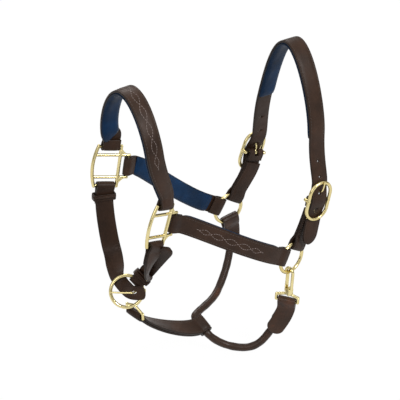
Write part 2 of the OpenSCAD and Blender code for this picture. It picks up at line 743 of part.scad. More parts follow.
// Throat: a flat tab on the far ring, a round roll through the jaw strap's loop, and a flat tab on the snap
tab_end_scale = 0.55;
tab_flap = 24;
far_throat_anchor = ring_anchor(FAR, throat_angle);
far_tab_end = [far_throat_anchor[0] + [-7, -11, -40], [-5, -4, -11], [0, 1, 0]];
far_tab_run = path([leaving(far_throat_anchor, 10), far_tab_end], 6);
far_tab_line = folded(far_throat_anchor, ring_inner, ring_sag, tab_flap, far_tab_run);
function narrowing(line, length) =
    let (d = distances(line), total = d[len(d) - 1])
    [for (x = d) total - x > length ? 1 : mix(tab_end_scale, 1, smooth((total - x) / length))];
module far_throat_tab() color(LEATHER) strap(far_tab_line, narrowing(far_tab_line, 22));
// The near tab ends rounded, over the end of the roll
near_throat_anchor = anchor(loop_frame[0], -loop_frame[3], -loop_frame[2]);
near_tab_nodes = [
    leaving(near_throat_anchor, 10),
    [near_throat_anchor[0] + [-20, 6, -49], [-8, 4, -13], [-0.6, -0.8, 0]]
];
near_tab_line = folded(near_throat_anchor, bar_r + fit, 0, tab_flap, path(near_tab_nodes, 10));
function rounded(line, length) =
    let (d = distances(line), total = d[len(d) - 1])
    [for (x = d) tip_scale(total - x, length)];
module near_throat_tab() color(LEATHER) strap(near_tab_line, rounded(near_tab_line, 10));
function under_tab(f, reach) =
    let (s = section(near_tab_nodes[0], near_tab_nodes[1], f))
    [s[0] - s[2] * (strap_t / 2 + seam + roll_d / 2), -s[3] * reach, s[2]];
roll_nodes = [
    [far_tab_end[0], [-7, -7, -16], [0, 1, 0]],
    [loop_at + [52, 36, 18], [-20, -13, -9], [0, 1, 0]],
    [loop_at + loop_wide * 13, -loop_wide * 9, [1, 0, 0]],
    [loop_at - loop_wide * 13, -loop_wide * 9, [1, 0, 0]],
    [loop_at + [39, -40, -29], [18, -19, 2], [0, -1, 0]],
    under_tab(1, 16),
    under_tab(0.75, 3)
];
module throat_roll() color(LEATHER) sweep(path(roll_nodes, 8), round_outline(roll_d, 12));

noseband_strap();
noseband_lining();
near_cheek_strap();
near_cheek_lining();
far_cheek_strap();
far_cheek_lining();
crown_strap();
crown_lining();
near_crown_tab();
far_crown_tab();
far_chin_strap();
near_chin_strap();
far_chin_keeper();
near_chin_keeper();
jaw_strap();
throat_roll();
far_throat_tab();
near_throat_tab();
near_square();
far_square();
near_ring();
far_ring();
chin_ring();
chin_tongue();
near_buckle_frame();
near_buckle_tongue();
far_buckle_frame();
far_buckle_tongue();
snap_body();
snap_gate();
snap_rivet();
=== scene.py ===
"""Looks of a leather stable halter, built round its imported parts.

The straps, linings and keepers are swept again here on the same lines as the solids, finer and with
sewn edges, and the brass gets its cast edges and polish. Lengths are millimetres until a mesh is made.
"""

import math

import bmesh
import bpy
import numpy as np
from mathutils import Matrix, Vector


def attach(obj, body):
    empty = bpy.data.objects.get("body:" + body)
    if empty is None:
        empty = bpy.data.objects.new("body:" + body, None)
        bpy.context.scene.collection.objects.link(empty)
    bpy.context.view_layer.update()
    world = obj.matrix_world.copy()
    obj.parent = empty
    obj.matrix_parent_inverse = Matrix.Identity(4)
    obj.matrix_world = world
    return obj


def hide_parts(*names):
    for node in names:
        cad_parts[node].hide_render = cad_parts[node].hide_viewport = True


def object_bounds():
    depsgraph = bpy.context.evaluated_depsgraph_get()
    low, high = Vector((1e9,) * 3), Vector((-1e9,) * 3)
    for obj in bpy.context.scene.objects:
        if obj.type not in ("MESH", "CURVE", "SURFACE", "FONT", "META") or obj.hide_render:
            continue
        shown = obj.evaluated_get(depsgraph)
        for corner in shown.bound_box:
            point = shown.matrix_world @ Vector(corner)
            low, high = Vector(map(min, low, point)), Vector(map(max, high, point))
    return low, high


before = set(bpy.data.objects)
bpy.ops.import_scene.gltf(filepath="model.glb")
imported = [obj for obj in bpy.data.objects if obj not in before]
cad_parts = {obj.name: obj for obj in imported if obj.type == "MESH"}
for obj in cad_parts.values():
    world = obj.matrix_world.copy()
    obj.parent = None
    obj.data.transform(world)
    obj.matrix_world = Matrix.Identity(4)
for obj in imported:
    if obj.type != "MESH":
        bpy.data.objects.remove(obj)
cad_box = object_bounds()

MM = 0.001
NEAR = -1
FAR = 1
SIDES = {"near": NEAR, "far": FAR}
MAIN_BODY = "halter"

# Leather sizes. A tongue's hole is worn long, and WORN_NARROW is its width over its length.
STRAP_W = 25.0
STRAP_T = 3.2
PAD_T = 5.0
ROLL_D = 11.0
HOLE_D = 6.6
WORN_NARROW = 0.62
SPARE_D = 3.4
FLAP = 14.0
KEEPER_W = 9.0
KEEPER_T = 2.0

# Brass sizes
RING_OD = 47.8
RING_WIRE = 4.8
POST_D = 4.6
BAR_D = 3.8
SLOT_PITCH = 12.0
BUCKLE_LEN = 60.0
BUCKLE_WIRE = 4.8
BAR_BACK = 7.0
SNAP_REACH = 50.0

# Sizes of the head
NOSE_W = 128.0
JAW_W = 150.0
NOSE_UP = 160.0
CHEEK_RUN = 207.0
CHEEK_DROP = 131.0
CROWN_UP = 288.0
CROWN_BACK = 45.0
CHIN_DROP = 134.0
NOSE_ROLL = 12.0
LOOP_BACK = 112.0
LOOP_DROP = 251.0

# Clearances, and the length in which a fold's two layers close behind its bar
FIT = 0.35
SEAM = 0.2
SIDE_GAP = 0.8
RING_SLACK = 0.3
CLOSE_LEN = 11.0

# What follows from the sizes
RING_R = (RING_OD - RING_WIRE) / 2
WIRE_R = RING_WIRE / 2
POST_R = POST_D / 2
BAR_R = BAR_D / 2
ARM = STRAP_W / 2 + SIDE_GAP + POST_R
OUTER_BAR = ARM + SLOT_PITCH
CROWN_Z = PAD_T + SEAM + STRAP_T / 2
RING_SAG = RING_R - math.sqrt(RING_R**2 - STRAP_W**2 / 4)
LAYER = (STRAP_T + SEAM) / 2
BAR_INNER = BAR_R + FIT
RING_INNER = WIRE_R + FIT
CHEEK_X = -CROWN_BACK
CHEEK_Z = CROWN_Z - CROWN_UP
NOSE_X = CHEEK_X - CHEEK_RUN
NOSE_Z = CHEEK_Z + CHEEK_DROP


# Vector helpers
def vec(x, y, z):
    return np.array([x, y, z], float)


def unit(v):
    return v / np.linalg.norm(v)


def across(v, along):
    return unit(v - along * (v @ along))


def mix(a, b, f):
    return a + (b - a) * f


def smooth(f):
    """From 0 to 1 with level ends, and held there outside."""
    f = min(1, max(0, f))
    return f * f * (3 - 2 * f)


def waves(d, table):
    """Sines along a distance, each given by its length and its start."""
    return sum(np.sin(d / length + start) for length, start in table)


def cosd(a):
    return math.cos(math.radians(a))


def sind(a):
    return math.sin(math.radians(a))


# A frame is an origin with three unit axes
def frame_on(origin, x, z):
    ex = unit(x)
    ey = unit(np.cross(z, ex))
    return origin, ex, ey, np.cross(ex, ey)


def at(f, x, y, z):
    return f[0] + f[1] * x + f[2] * y + f[3] * z


def spoke(f, angle):
    return f[1] * cosd(angle) + f[3] * sind(angle)


# A path node is a point, a handle along the path and the direction that the strap faces.
# A section is a point with the strap's width, facing and heading directions. A run is a list of sections.
MIN_STEP = 0.5


def section(a, b, f):
    g = 1 - f
    p, q = a[0] + a[1], b[0] - b[1]
    point = a[0] * g**3 + p * 3 * g * g * f + q * 3 * g * f * f + b[0] * f**3
    t = unit(a[1] * g * g + (q - p) * 2 * g * f + b[1] * f * f)
    n = across(mix(a[2], b[2], smooth(f)), t)
    return point, np.cross(n, t), n, t


def path(nodes, steps):
    run = []
    for i, (a, b) in enumerate(zip(nodes, nodes[1:])):
        run += [section(a, b, k / steps) for k in range(1 if i else 0, steps + 1)]
    return run


def shifted(run, out):
    return [(p + n * out, w, n, t) for p, w, n, t in run]


def distances(line):
    steps = [np.linalg.norm(b[0] - a[0]) for a, b in zip(line, line[1:])]
    return np.concatenate([[0], np.cumsum(steps)])


def total(run):
    return distances(run)[-1]


def station(run, d, x):
    i = int(np.clip(np.searchsorted(d, x) - 1, 0, len(d) - 2))
    f = (x - d[i]) / (d[i + 1] - d[i])
    return tuple(mix(a, b, f) for a, b in zip(run[i], run[i + 1]))


def stretch(run, first, last):
    """The part of a run between two distances along it."""
    d = distances(run)
    inner = [s for s, x in zip(run, d) if first + MIN_STEP < x < last - MIN_STEP]
    return [station(run, d, first)] + inner + [station(run, d, last)]


# An anchor is the bar that a strap's end folds round: its centre, the way the strap leaves it and
# the way the strap faces. deep is how far behind that centre the fold's bottom is straight.
CLOSE_STEPS = 9
TURN_STEPS = 15
SEWN_GAP = 2.0
TIP_MIN = 0.14


def anchor(p, leave, face):
    d = unit(leave)
    return p, d, across(face, d)


def loop(a, wide, inner, deep):
    """Round the bar, from where the two layers part to where they meet again."""
    r = inner + STRAP_T / 2
    half = []
    for k in range(CLOSE_STEPS):
        half.append((k / CLOSE_STEPS * CLOSE_LEN, mix(r, LAYER, smooth(k / CLOSE_STEPS))))
    turns = [180 / TURN_STEPS * k for k in range(1, TURN_STEPS)]
    points = [(CLOSE_LEN, -LAYER)] + [(x, -y) for x, y in reversed(half)]
    if deep > 0:
        points += [(-deep / 2, -r), (-deep, -r)]
    points += [(-deep - r * sind(turn), -r * cosd(turn)) for turn in turns]
    if deep > 0:
        points += [(-deep, r), (-deep / 2, r)]
    points += half
    return [(a[0] + a[1] * x + a[2] * y, wide) for x, y in points]


def leaving(a, reach):
    return a[0] + a[1] * CLOSE_LEN + a[2] * LAYER, a[1] * reach, a[2]


def arriving(a, reach):
    return leaving(a, -reach)


def flap_under(run, length):
    d = distances(run)
    return [(s[0] - s[2] * 2 * LAYER, s[1]) for s, x in zip(run, d) if 0 < x < length]


def whole(run):
    """Length of a flap that reaches the other end's loop."""
    return total(run) - SEWN_GAP


def folded(a, run, inner=BAR_INNER, deep=0, flap=0):
    """A line of points and widths that starts with a flap, goes round an anchor and follows a run."""
    return flap_under(run, flap)[::-1] + loop(a, np.cross(a[2], a[1]), inner, deep) + list(run)


def folded_after(line, run, a, inner=BAR_INNER, deep=0, flap=0):
    """The same at the end of a line."""
    turn = loop(a, np.cross(a[1], a[2]), inner, deep)[::-1]
    return list(line) + turn + flap_under(run[::-1], flap)


def tip_scale(from_tip, length):
    """Width share near a rounded end."""
    if from_tip >= length:
        return 1.0
    return max(TIP_MIN, math.sqrt(1 - (1 - from_tip / length) ** 2))


# Cross-sections, counter-clockwise with width along x and the outer face along +y
SEWN_IN = 2.7
CHANNEL = 0.28
CHANNEL_HALF = 0.9
CHANNEL_LIP = 0.08
EDGE_R = 1.1
CROWNED = 0.22
SHOULDER_IN = 2.6
SHOULDER_HIGH = 0.8
PIPED = 0.7
PAD_EDGE = 0.36
PAD_EDGE_STEPS = 5
BELLY_STEPS = 20
BELLY_POWER = 5


def corner(x, y, r, start, count=4):
    angles = [start + 90 * k / count for k in range(count + 1)]
    return [(x + r * cosd(a), y + r * sind(a)) for a in angles]


def strap_outline(w, t, sewn=True, edge_r=EDGE_R):
    """Rounded edges, a crowned face and a shallow channel where the stitches lie."""
    h = w / 2
    x = h - edge_r
    y = t / 2 - edge_r
    seam = h - SEWN_IN
    top = [(seam + CHANNEL_HALF, t / 2)]
    if sewn:
        top.append((seam, t / 2 - CHANNEL))
    top.append((seam - CHANNEL_HALF, t / 2 + CHANNEL_LIP))
    top += [(h / SHOULDER_IN, t / 2 + CROWNED * SHOULDER_HIGH), (0, t / 2 + CROWNED)]
    top += [(-px, py) for px, py in reversed(top[:-1])]
    under = [(-h / 2, -t / 2), (0, -t / 2), (h / 2, -t / 2)]
    right = corner(x, -y, edge_r, -90) + corner(x, y, edge_r, 0)
    left = corner(-x, y, edge_r, 90) + corner(-x, -y, edge_r, 180)
    return right + top + left + under


def round_outline(d, sides):
    return [(d / 2 * cosd(k * 360 / sides), d / 2 * sind(k * 360 / sides)) for k in range(sides)]


def pad_outline(w, t):
    """Flat against the strap, full rolled edges just past the strap's, and crowned towards the head."""
    h = w / 2 + PIPED
    r = t * PAD_EDGE
    right = corner(h - r, t / 2 - r, r, 0, PAD_EDGE_STEPS)
    left = corner(r - h, t / 2 - r, r, 90, PAD_EDGE_STEPS)
    belly = []
    for k in range(BELLY_STEPS):
        x = -h + 2 * h * k / BELLY_STEPS
        belly.append((x, -t / 2 + (t - r) * (abs(x) / h) ** BELLY_POWER))
    return right + left[:-1] + belly


# Meshes
RIM = "rim"
RIM_FROM = 0.87


def lengths(rows):
    return np.linalg.norm(rows, axis=1)[:, None]


def tangents(points, closed):
    if closed:
        back, ahead = points - np.roll(points, 1, 0), np.roll(points, -1, 0) - points
    else:
        step = np.diff(points, axis=0)
        back, ahead = np.vstack([step[:1], step]), np.vstack([step, step[-1:]])
    t = back / lengths(back) + ahead / lengths(ahead)
    return t / lengths(t)


def link(obj):
    bpy.context.scene.collection.objects.link(obj)
    return obj


def new_object(name, verts, faces, material):
    mesh = bpy.data.meshes.new(name)
    mesh.from_pydata((np.asarray(verts) * MM).tolist(), [], faces)
    mesh.validate()
    mesh.shade_smooth()
    mesh.materials.append(material)
    return link(bpy.data.objects.new(name, mesh))


def sweep(name, line, outline, material, scales=None, closed=False, shape=None):
    """Carries an outline along a line of points and width directions.

    scales narrows each section, and shape may move each section's points. The rim attribute rises
    from 0 to 1 towards the outline's two edges.
    """
    points = np.array([s[0] for s in line])
    wide = np.array([s[1] for s in line])
    t = tangents(points, closed)
    face = np.cross(t, wide)
    face /= lengths(face)
    wide = np.cross(face, t)
    outline = np.array(outline)
    n, m = len(points), len(outline)
    x = np.repeat(outline[None, :, 0], n, 0)
    y = np.repeat(outline[None, :, 1], n, 0)
    if scales is not None:
        x = x * np.array(scales)[:, None]
    if shape is not None:
        x, y = shape(distances(line), x, y)
    verts = points[:, None] + wide[:, None] * x[..., None] + face[:, None] * y[..., None]
    faces = []
    for i in range(n if closed else n - 1):
        a, b = i * m, (i + 1) % n * m
        faces += [(a + j, a + (j + 1) % m, b + (j + 1) % m, b + j) for j in range(m)]
    if not closed:
        faces += [tuple(range(m))[::-1], tuple(range((n - 1) * m, n * m))]
    obj = new_object(name, verts.reshape(-1, 3), faces, material)
    sideways = np.abs(outline[:, 0])
    rim = np.clip((sideways / sideways.max() - RIM_FROM) / (1 - RIM_FROM), 0, 1)
    layer = obj.data.attributes.new(RIM, "FLOAT", "POINT")
    layer.data.foreach_set("value", np.tile(rim, n).astype(np.float32))
    return obj


# Materials. The Mix node has sockets of the same name for each kind of data, so they go by number.
MIX_FACTOR, MIX_A, MIX_B, MIX_RESULT = 0, 6, 7, 2
NOISE_ROUGHNESS = 0.55


class Shader:
    """A material with one principled surface and a short way to add nodes to it."""

    def __init__(self, name):
        self.material = bpy.data.materials.new(name)
        self.material.use_nodes = True
        self.tree = self.material.node_tree
        self.surface = self.tree.nodes["Principled BSDF"]

    def add(self, kind, settings=None, **inputs):
        node = self.tree.nodes.new(kind)
        for key, value in (settings or {}).items():
            setattr(node, key, value)
        for key, value in inputs.items():
            self.put(node, key.replace("_", " "), value)
        return node

    def put(self, node, socket, value):
        target = node.inputs[socket]
        if isinstance(value, bpy.types.NodeSocket):
            self.tree.links.new(value, target)
        else:
            target.default_value = value

    def set(self, **inputs):
        for key, value in inputs.items():
            self.put(self.surface, key.replace("_", " "), value)

    def place(self):
        return self.add("ShaderNodeTexCoord").outputs["Object"]

    def noise(self, scale, detail):
        node = self.add("ShaderNodeTexNoise", Vector=self.place(), Scale=scale, Detail=detail)
        self.put(node, "Roughness", NOISE_ROUGHNESS)
        return node.outputs["Fac"]

    def cells(self, scale):
        smooth_cells = {"feature": "SMOOTH_F1"}
        node = self.add("ShaderNodeTexVoronoi", smooth_cells, Vector=self.place(), Scale=scale)
        return node.outputs["Distance"]

    def ramp(self, fac, places, colours):
        node = self.add("ShaderNodeValToRGB", Fac=fac)
        elements = node.color_ramp.elements
        while len(elements) < len(places):
            elements.new(0.5)
        for element, place, colour in zip(elements, places, colours):
            element.position = place
            element.color = colour
        return node.outputs["Color"]

    def range(self, fac, low, high):
        node = self.add("ShaderNodeMapRange", Value=fac, To_Min=low, To_Max=high)
        return node.outputs["Result"]

    def join(self, operation, a, b):
        node = self.add("ShaderNodeMath", {"operation": operation})
        self.put(node, 0, a)
        self.put(node, 1, b)
        return node.outputs[0]

    def blend(self, fac, a, b, mode="MIX"):
        node = self.add("ShaderNodeMix", {"data_type": "RGBA", "blend_type": mode})
        for socket, value in ((MIX_FACTOR, fac), (MIX_A, a), (MIX_B, b)):
            self.put(node, socket, value)
        return node.outputs[MIX_RESULT]

    def bump(self, height, strength, distance):
        return self.add("ShaderNodeBump", Height=height, Strength=strength, Distance=distance)


def grey(v):
    return v, v, v, 1


def srgb(r, g, b):
    """A screen colour in linear light, by the sRGB curve."""
    linear = [c / 255 / 12.92 if c < 11 else ((c / 255 + 0.055) / 1.055) ** 2.4 for c in (r, g, b)]
    return (*linear, 1)


# Noises are a scale and a detail, and bumps a strength and a height in metres
CLOUDS = (38, 5)
CLOUD_PLACES = (0.3, 0.52, 0.75)
PORE_SCALE = 1150
PORE_PLACES = (0.05, 0.35)
PORE_SHADES = (grey(0.72), grey(1))
PORE_BUMP = (0.22, 0.0002)
CREASES = (420, 3)
CREASE_BUMP = (0.16, 0.0005)
EDGE_PATCHES = (75, 5)
EDGE_PATCH_RANGE = (0.4, 1.1)
WAX = (140, 6)
WAX_SMOOTHER, WAX_ROUGHER = 0.1, 0.12
FIBRES = (900, 2)
FIBRE_PLACES = (0.35, 0.65)
TWIST = (2600, 1)
TWIST_BUMP = (0.4, 0.0002)
THREAD_ROUGHNESS = 0.7
TARNISH = (32, 2)
TARNISH_PLACES = (0.32, 0.6)
DULLNESS = (60, 2)
DULL_RANGE = (0.16, 0.27)
BRASS_TINT = (0.42, 0.34, 0.16, 1)


def leather(name, colours, edge, rough, shine):
    """Waxed leather: cloudy colour, fine pores, patchy edges of their own colour and an uneven soft
    shine; on the lining that edge colour is painted shade.
    """
    s = Shader(name)
    colour = s.ramp(s.noise(*CLOUDS), CLOUD_PLACES, colours)
    pores = s.cells(PORE_SCALE)
    colour = s.blend(1.0, colour, s.ramp(pores, PORE_PLACES, PORE_SHADES), "MULTIPLY")
    # Edges take the edge colour in patches: dyed edges on the leathers, painted shade on the lining's
    # rolled edges.
    rim = s.add("ShaderNodeAttribute", {"attribute_name": RIM}).outputs["Fac"]
    edge_dye_and_shade = s.join("MULTIPLY", rim, s.range(s.noise(*EDGE_PATCHES), *EDGE_PATCH_RANGE))
    s.set(Base_Color=s.blend(edge_dye_and_shade, colour, edge))
    s.set(Roughness=s.range(s.noise(*WAX), rough - WAX_SMOOTHER, rough + WAX_ROUGHER))
    grain = s.bump(pores, *PORE_BUMP)
    creases = s.bump(s.noise(*CREASES), *CREASE_BUMP)
    s.put(creases, "Normal", grain.outputs["Normal"])
    s.set(Normal=creases.outputs["Normal"], Specular_IOR_Level=shine)
    return s.material


def thread(name, colour, shade):
    s = Shader(name)
    s.set(Base_Color=s.ramp(s.noise(*FIBRES), FIBRE_PLACES, (shade, colour)))
    s.set(Roughness=THREAD_ROUGHNESS)
    s.set(Normal=s.bump(s.noise(*TWIST), *TWIST_BUMP).outputs["Normal"])
    return s.material


def polished_brass(name, colour, tarnish):
    """Cast and polished, a little dull in patches."""
    s = Shader(name)
    s.set(Base_Color=s.ramp(s.noise(*TARNISH), TARNISH_PLACES, (tarnish, colour)))
    s.set(Metallic=1.0, Specular_Tint=BRASS_TINT)
    s.set(Roughness=s.range(s.noise(*DULLNESS), *DULL_RANGE))
    return s.material


LEATHER = leather(
    "bridle_leather", (srgb(42, 28, 20), srgb(53, 36, 26), srgb(63, 43, 32)),
    edge=srgb(26, 17, 12), rough=0.46, shine=0.2,
)
ROLLED = leather(
    "rolled_leather", (srgb(44, 29, 19), srgb(60, 39, 27), srgb(90, 55, 35)),
    edge=srgb(42, 27, 17), rough=0.38, shine=0.32,
)
# Its near-black edge colour is painted shade on the lining's rolled edges.
NAVY = leather(
    "navy_lining", (srgb(3, 33, 60), srgb(6, 42, 75), srgb(9, 51, 90)),
    edge=srgb(7, 14, 26), rough=0.5, shine=0.14,
)
THREAD = thread("pale_thread", srgb(138, 124, 120), srgb(110, 97, 93))
EDGE_THREAD = thread("brown_thread", srgb(74, 63, 56), srgb(56, 47, 41))
NAVY_THREAD = thread("navy_thread", srgb(30, 54, 84), srgb(18, 38, 64))
BRASS = polished_brass("polished_brass", (0.80, 0.69, 0.36, 1), (0.70, 0.58, 0.27, 1))


def place_piece(obj, body, node=None):
    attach(obj, body)
    if node:
        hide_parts(node)
    return obj


# Stitches. A seat is a stitch's middle, heading and facing directions. A stitch's rings are places
# along it, with their share of its radius and their height.
STITCH_LEN = 3.3
STITCH_PITCH = 4.4
STITCH_R = 0.42
STITCH_FLAT = 0.75
STITCH_SIDES = 6
STITCH_RINGS = (
    (-0.5, 0.3, -0.3), (-0.36, 0.9, 0.05), (0, 1.0, 0.12), (0.36, 0.9, 0.05), (0.5, 0.3, -0.3)
)
LOOK_ALONG = 0.6
IN_CHANNEL = STRAP_T / 2 - CHANNEL + 0.1
ON_BACK = -STRAP_T / 2 - 0.05
CROSS_HIGH = STRAP_T / 2 + CROWNED * 0.7
CROSS_HALF = STRAP_W / 2 - SEWN_IN - 1.6
CROSS_COUNT = 5
CROSS_FROM = 3
DOUBLED_FROM = 1
DIAMOND_LEN = 23.0
DIAMOND_HALF = 3.6
DIAMOND_PITCH = 3.6
DIAMOND_HIGH = STRAP_T / 2 + CROWNED * 0.75
POINTED = 0.75


def stitches(name, seats, material):
    """One short thread at each seat."""
    verts = []
    faces = []
    for p, t, n in seats:
        w = np.cross(n, t)
        base = len(verts)
        for along, wide, high in STITCH_RINGS:
            middle = p + t * (along * STITCH_LEN) + n * high
            for k in range(STITCH_SIDES):
                turn = k * 360 / STITCH_SIDES
                out = w * cosd(turn) + n * sind(turn) * STITCH_FLAT
                verts.append(middle + out * (STITCH_R * wide))
        last = len(verts) - STITCH_SIDES
        for a in range(base, last, STITCH_SIDES):
            b = a + STITCH_SIDES
            for j in range(STITCH_SIDES):
                k = (j + 1) % STITCH_SIDES
                faces.append((a + j, a + k, b + k, b + j))
        faces.append(tuple(range(base, base + STITCH_SIDES))[::-1])
        faces.append(tuple(range(last, last + STITCH_SIDES)))
    return place_piece(new_object(name, verts, faces, material), MAIN_BODY)


def seat_at(s, x, y):
    return s[0] + s[1] * x + s[2] * y


def turned(seats):
    return [(p, t, -n) for p, t, n in seats]


def row(run, first, last, x_of, y, pitch=STITCH_PITCH):
    """Seats along a run between two distances, at the sideways place that x_of gives for each."""
    d = distances(run)
    count = max(1, int((last - first) / pitch))
    seats = []
    for k in range(count):
        here = first + (k + 0.5) * (last - first) / count
        near_by = (here - LOOK_ALONG, here + LOOK_ALONG)
        back, ahead = (seat_at(station(run, d, x), x_of(x), 0) for x in near_by)
        t = unit(ahead - back)
        s = station(run, d, here)
        seats.append((seat_at(s, x_of(here), y), t, across(s[2], t)))
    return seats


def edge_rows(run, first, last, y=IN_CHANNEL, inset=SEWN_IN):
    seats = []
    for side in (-1, 1):
        seats += row(run, first, last, lambda d: side * (STRAP_W / 2 - inset), y)
    return seats


def cross_row(run, where):
    """A row across the strap, where a folded end is sewn down."""
    s = station(run, distances(run), where)
    places = [(-CROSS_HALF + 2 * CROSS_HALF * (k + 0.5) / CROSS_COUNT) for k in range(CROSS_COUNT)]
    return [(seat_at(s, x, CROSS_HIGH), s[1], s[2]) for x in places]


def sew_doubled(name, run):
    """Rows along both edges of a doubled strap and across its start."""
    seats = edge_rows(run, DOUBLED_FROM, total(run) - DOUBLED_FROM)
    stitches(name, seats + cross_row(run, CROSS_FROM), EDGE_THREAD)


def diamonds(run, middle, count):
    """Two waves of fine stitches that cross into a chain of diamonds with pointed ends."""
    first = middle - count * DIAMOND_LEN / 2
    last = middle + count * DIAMOND_LEN / 2
    seats = []
    for side in (-1, 1):
        def wave(d):
            f = (d - first) / DIAMOND_LEN
            taper = smooth(min(f, count - f) / POINTED)
            return side * DIAMOND_HALF * taper * sind(f * 180)
        seats += row(run, first, last, wave, DIAMOND_HIGH, DIAMOND_PITCH)
    return seats


# Straps, linings and keepers
WELD = 0.01 * MM
PUNCH_SIDES = 28
PUCKER = 0.28
PAD_LUMP = 0.35
LUMP_WAVES = ((17.0, 0), (7.3, 1))
PAD_END = 9
PAD_END_W = 0.9
PAD_END_T = 0.6
PUCKER_FROM = 0.55
PAD_STEP = 1.1
PAD_ROW_FROM = 6
PAD_SEWN_IN = 3.2
PAD_SEWN_Y = -PAD_T / 2 + 1.75
KEEPER_CORNER = 0.9
KEEPER_CORNER_STEPS = 5
KEEPER_EDGE_R = 0.8


def cut(obj, cutter):
    """Cuts a hole and removes the cutter."""
    modifier = obj.modifiers.new("hole", "BOOLEAN")
    modifier.object = cutter
    modifier.operation = "DIFFERENCE"
    modifier.solver = "EXACT"
    bpy.context.view_layer.objects.active = obj
    bpy.ops.object.modifier_apply(modifier=modifier.name)
    bpy.data.objects.remove(cutter)


def weld(mesh):
    """Removes the slivers that cutting leaves."""
    work = bmesh.new()
    work.from_mesh(mesh)
    bmesh.ops.remove_doubles(work, verts=work.verts, dist=WELD)
    bmesh.ops.dissolve_degenerate(work, edges=work.edges, dist=WELD)
    bmesh.ops.triangulate(work, faces=[face for face in work.faces if len(face.verts) > 4])
    bmesh.ops.dissolve_degenerate(work, edges=work.edges, dist=WELD)
    work.to_mesh(mesh)
    work.free()


def punch(s, d, narrow=1.0):
    """A cutter through the strap at a section, round or narrower across the strap."""
    line = [(s[0] + s[2] * z, s[1]) for z in (-2 * STRAP_T, 0, 2 * STRAP_T)]
    outline = [(x * narrow, y) for x, y in round_outline(d, PUNCH_SIDES)]
    return sweep("punch", line, outline, LEATHER)


def box(f, low, high):
    """A block between two corners in a frame."""
    x, y = (low[0] + high[0]) / 2, (low[1] + high[1]) / 2
    w, h = (high[0] - low[0]) / 2, (high[1] - low[1]) / 2
    line = [(at(f, x, y, z), f[1]) for z in (low[2], high[2])]
    return sweep("box", line, [(w, -h), (w, h), (-w, h), (-w, -h)], LEATHER)


def sew_strap(node, line, scales=None, material=LEATHER, holes=(), sewn=True):
    obj = sweep("leather_" + node, line, strap_outline(STRAP_W, STRAP_T, sewn), material, scales)
    for cutter in holes:
        cut(obj, cutter)
    if holes:
        weld(obj.data)
    return place_piece(obj, MAIN_BODY, node)


def stuffed(d, x, y):
    """Pulls a lining in at each stitch along its edges, and makes it a little uneven along its length."""
    d = d[:, None]
    near_edge = np.clip((np.abs(x) / (STRAP_W / 2) - PUCKER_FROM) / (1 - PUCKER_FROM), 0, 1)
    inside = np.clip(0.5 - y / PAD_T, 0, 1)
    pucker = PUCKER * near_edge * (0.5 + 0.5 * np.cos(2 * np.pi * d / STITCH_PITCH))
    lump = PAD_LUMP * (1 - near_edge) * waves(d, LUMP_WAVES) / len(LUMP_WAVES)
    y = y + inside * (pucker + lump)
    top = PAD_T / 2
    end = np.sqrt(np.clip(np.minimum(d, d[-1] - d) / PAD_END, 0, 1))
    return x * mix(PAD_END_W, 1, end), top + (y - top) * mix(PAD_END_T, 1, end)


def pad(node, run):
    """A padded lining under a run of its strap."""
    inner = shifted(run, -(STRAP_T / 2 + SEAM + PAD_T / 2))
    dense = []
    for a, b in zip(inner, inner[1:]):
        parts = max(1, int(np.linalg.norm(b[0] - a[0]) / PAD_STEP))
        dense += [tuple(mix(p, q, k / parts) for p, q in zip(a, b)) for k in range(parts)]
    dense.append(inner[-1])
    obj = sweep("padded_" + node, dense, pad_outline(STRAP_W, PAD_T), NAVY, shape=stuffed)
    place_piece(obj, MAIN_BODY, node)
    seats = edge_rows(inner, PAD_ROW_FROM, total(inner) - PAD_ROW_FROM, PAD_SEWN_Y, PAD_SEWN_IN)
    stitches(node + "_stitches", turned(seats), NAVY_THREAD)


def keeper(node, s, wide, layers, body):
    """A narrow leather loop with rounded corners round a section, for a number of layers."""
    half_w = wide / 2 + FIT + KEEPER_T / 2
    half_t = (layers * (STRAP_T + SEAM)) / 2 + FIT + KEEPER_T / 2
    r = KEEPER_T / 2 + KEEPER_CORNER
    points = []
    for x, y, start in ((1, 1, 0), (-1, 1, 90), (-1, -1, 180), (1, -1, 270)):
        points += corner(x * (half_w - r), y * (half_t - r), r, start, KEEPER_CORNER_STEPS)
    line = [(at(s, x, y, 0), s[3]) for x, y in points]
    outline = strap_outline(KEEPER_W, KEEPER_T, False, KEEPER_EDGE_R)
    return place_piece(sweep("leather_" + node, line, outline, LEATHER, closed=True), body, node)


# Cheek rings, squares and buckles, as frames for what folds round them
RING_TOE = {NEAR: 12, FAR: 2}
SQUARE_TOE = 14
SQUARE_PITCH = {NEAR: 19, FAR: 11}
SQUARE_LEAN = {NEAR: 0.06, FAR: 0.1}
BUCKLE_LEAN = {NEAR: 13, FAR: 19}
BUCKLE_OUT = 9.0
BUCKLE_AT = {NEAR: vec(35, -BUCKLE_OUT, 84), FAR: vec(45, BUCKLE_OUT, 76)}
BUCKLE_HALF = (BUCKLE_LEN - BUCKLE_WIRE) / 2
CHEEK_ANGLE = 150
TAB_ANGLE = 57
THROAT_ANGLE = -80


def ring_frame(side):
    toe = RING_TOE[side]
    middle = vec(CHEEK_X, side * JAW_W / 2, CHEEK_Z)
    return frame_on(middle, vec(cosd(toe), -side * sind(toe), 0), vec(0, 0, 1))


def square_frame(side):
    pitch = SQUARE_PITCH[side]
    half = side * NOSE_W / 2
    middle = vec(NOSE_X, half * cosd(NOSE_ROLL), NOSE_Z + half * sind(NOSE_ROLL))
    x = vec(cosd(SQUARE_TOE) * cosd(pitch), -side * sind(SQUARE_TOE), -sind(pitch))
    return frame_on(middle, x, vec(sind(pitch), SQUARE_LEAN[side], cosd(pitch)))


def buckle_frame(side):
    lean = BUCKLE_LEAN[side]
    up = vec(sind(lean), 0, cosd(lean))
    out = vec(0, side, 0)
    return ring_frame(side)[0] + BUCKLE_AT[side], np.cross(out, up), out, up


def ring_anchor(side, angle):
    f = ring_frame(side)
    out = spoke(f, angle)
    return anchor(f[0] + out * RING_R, out, f[2] * side)


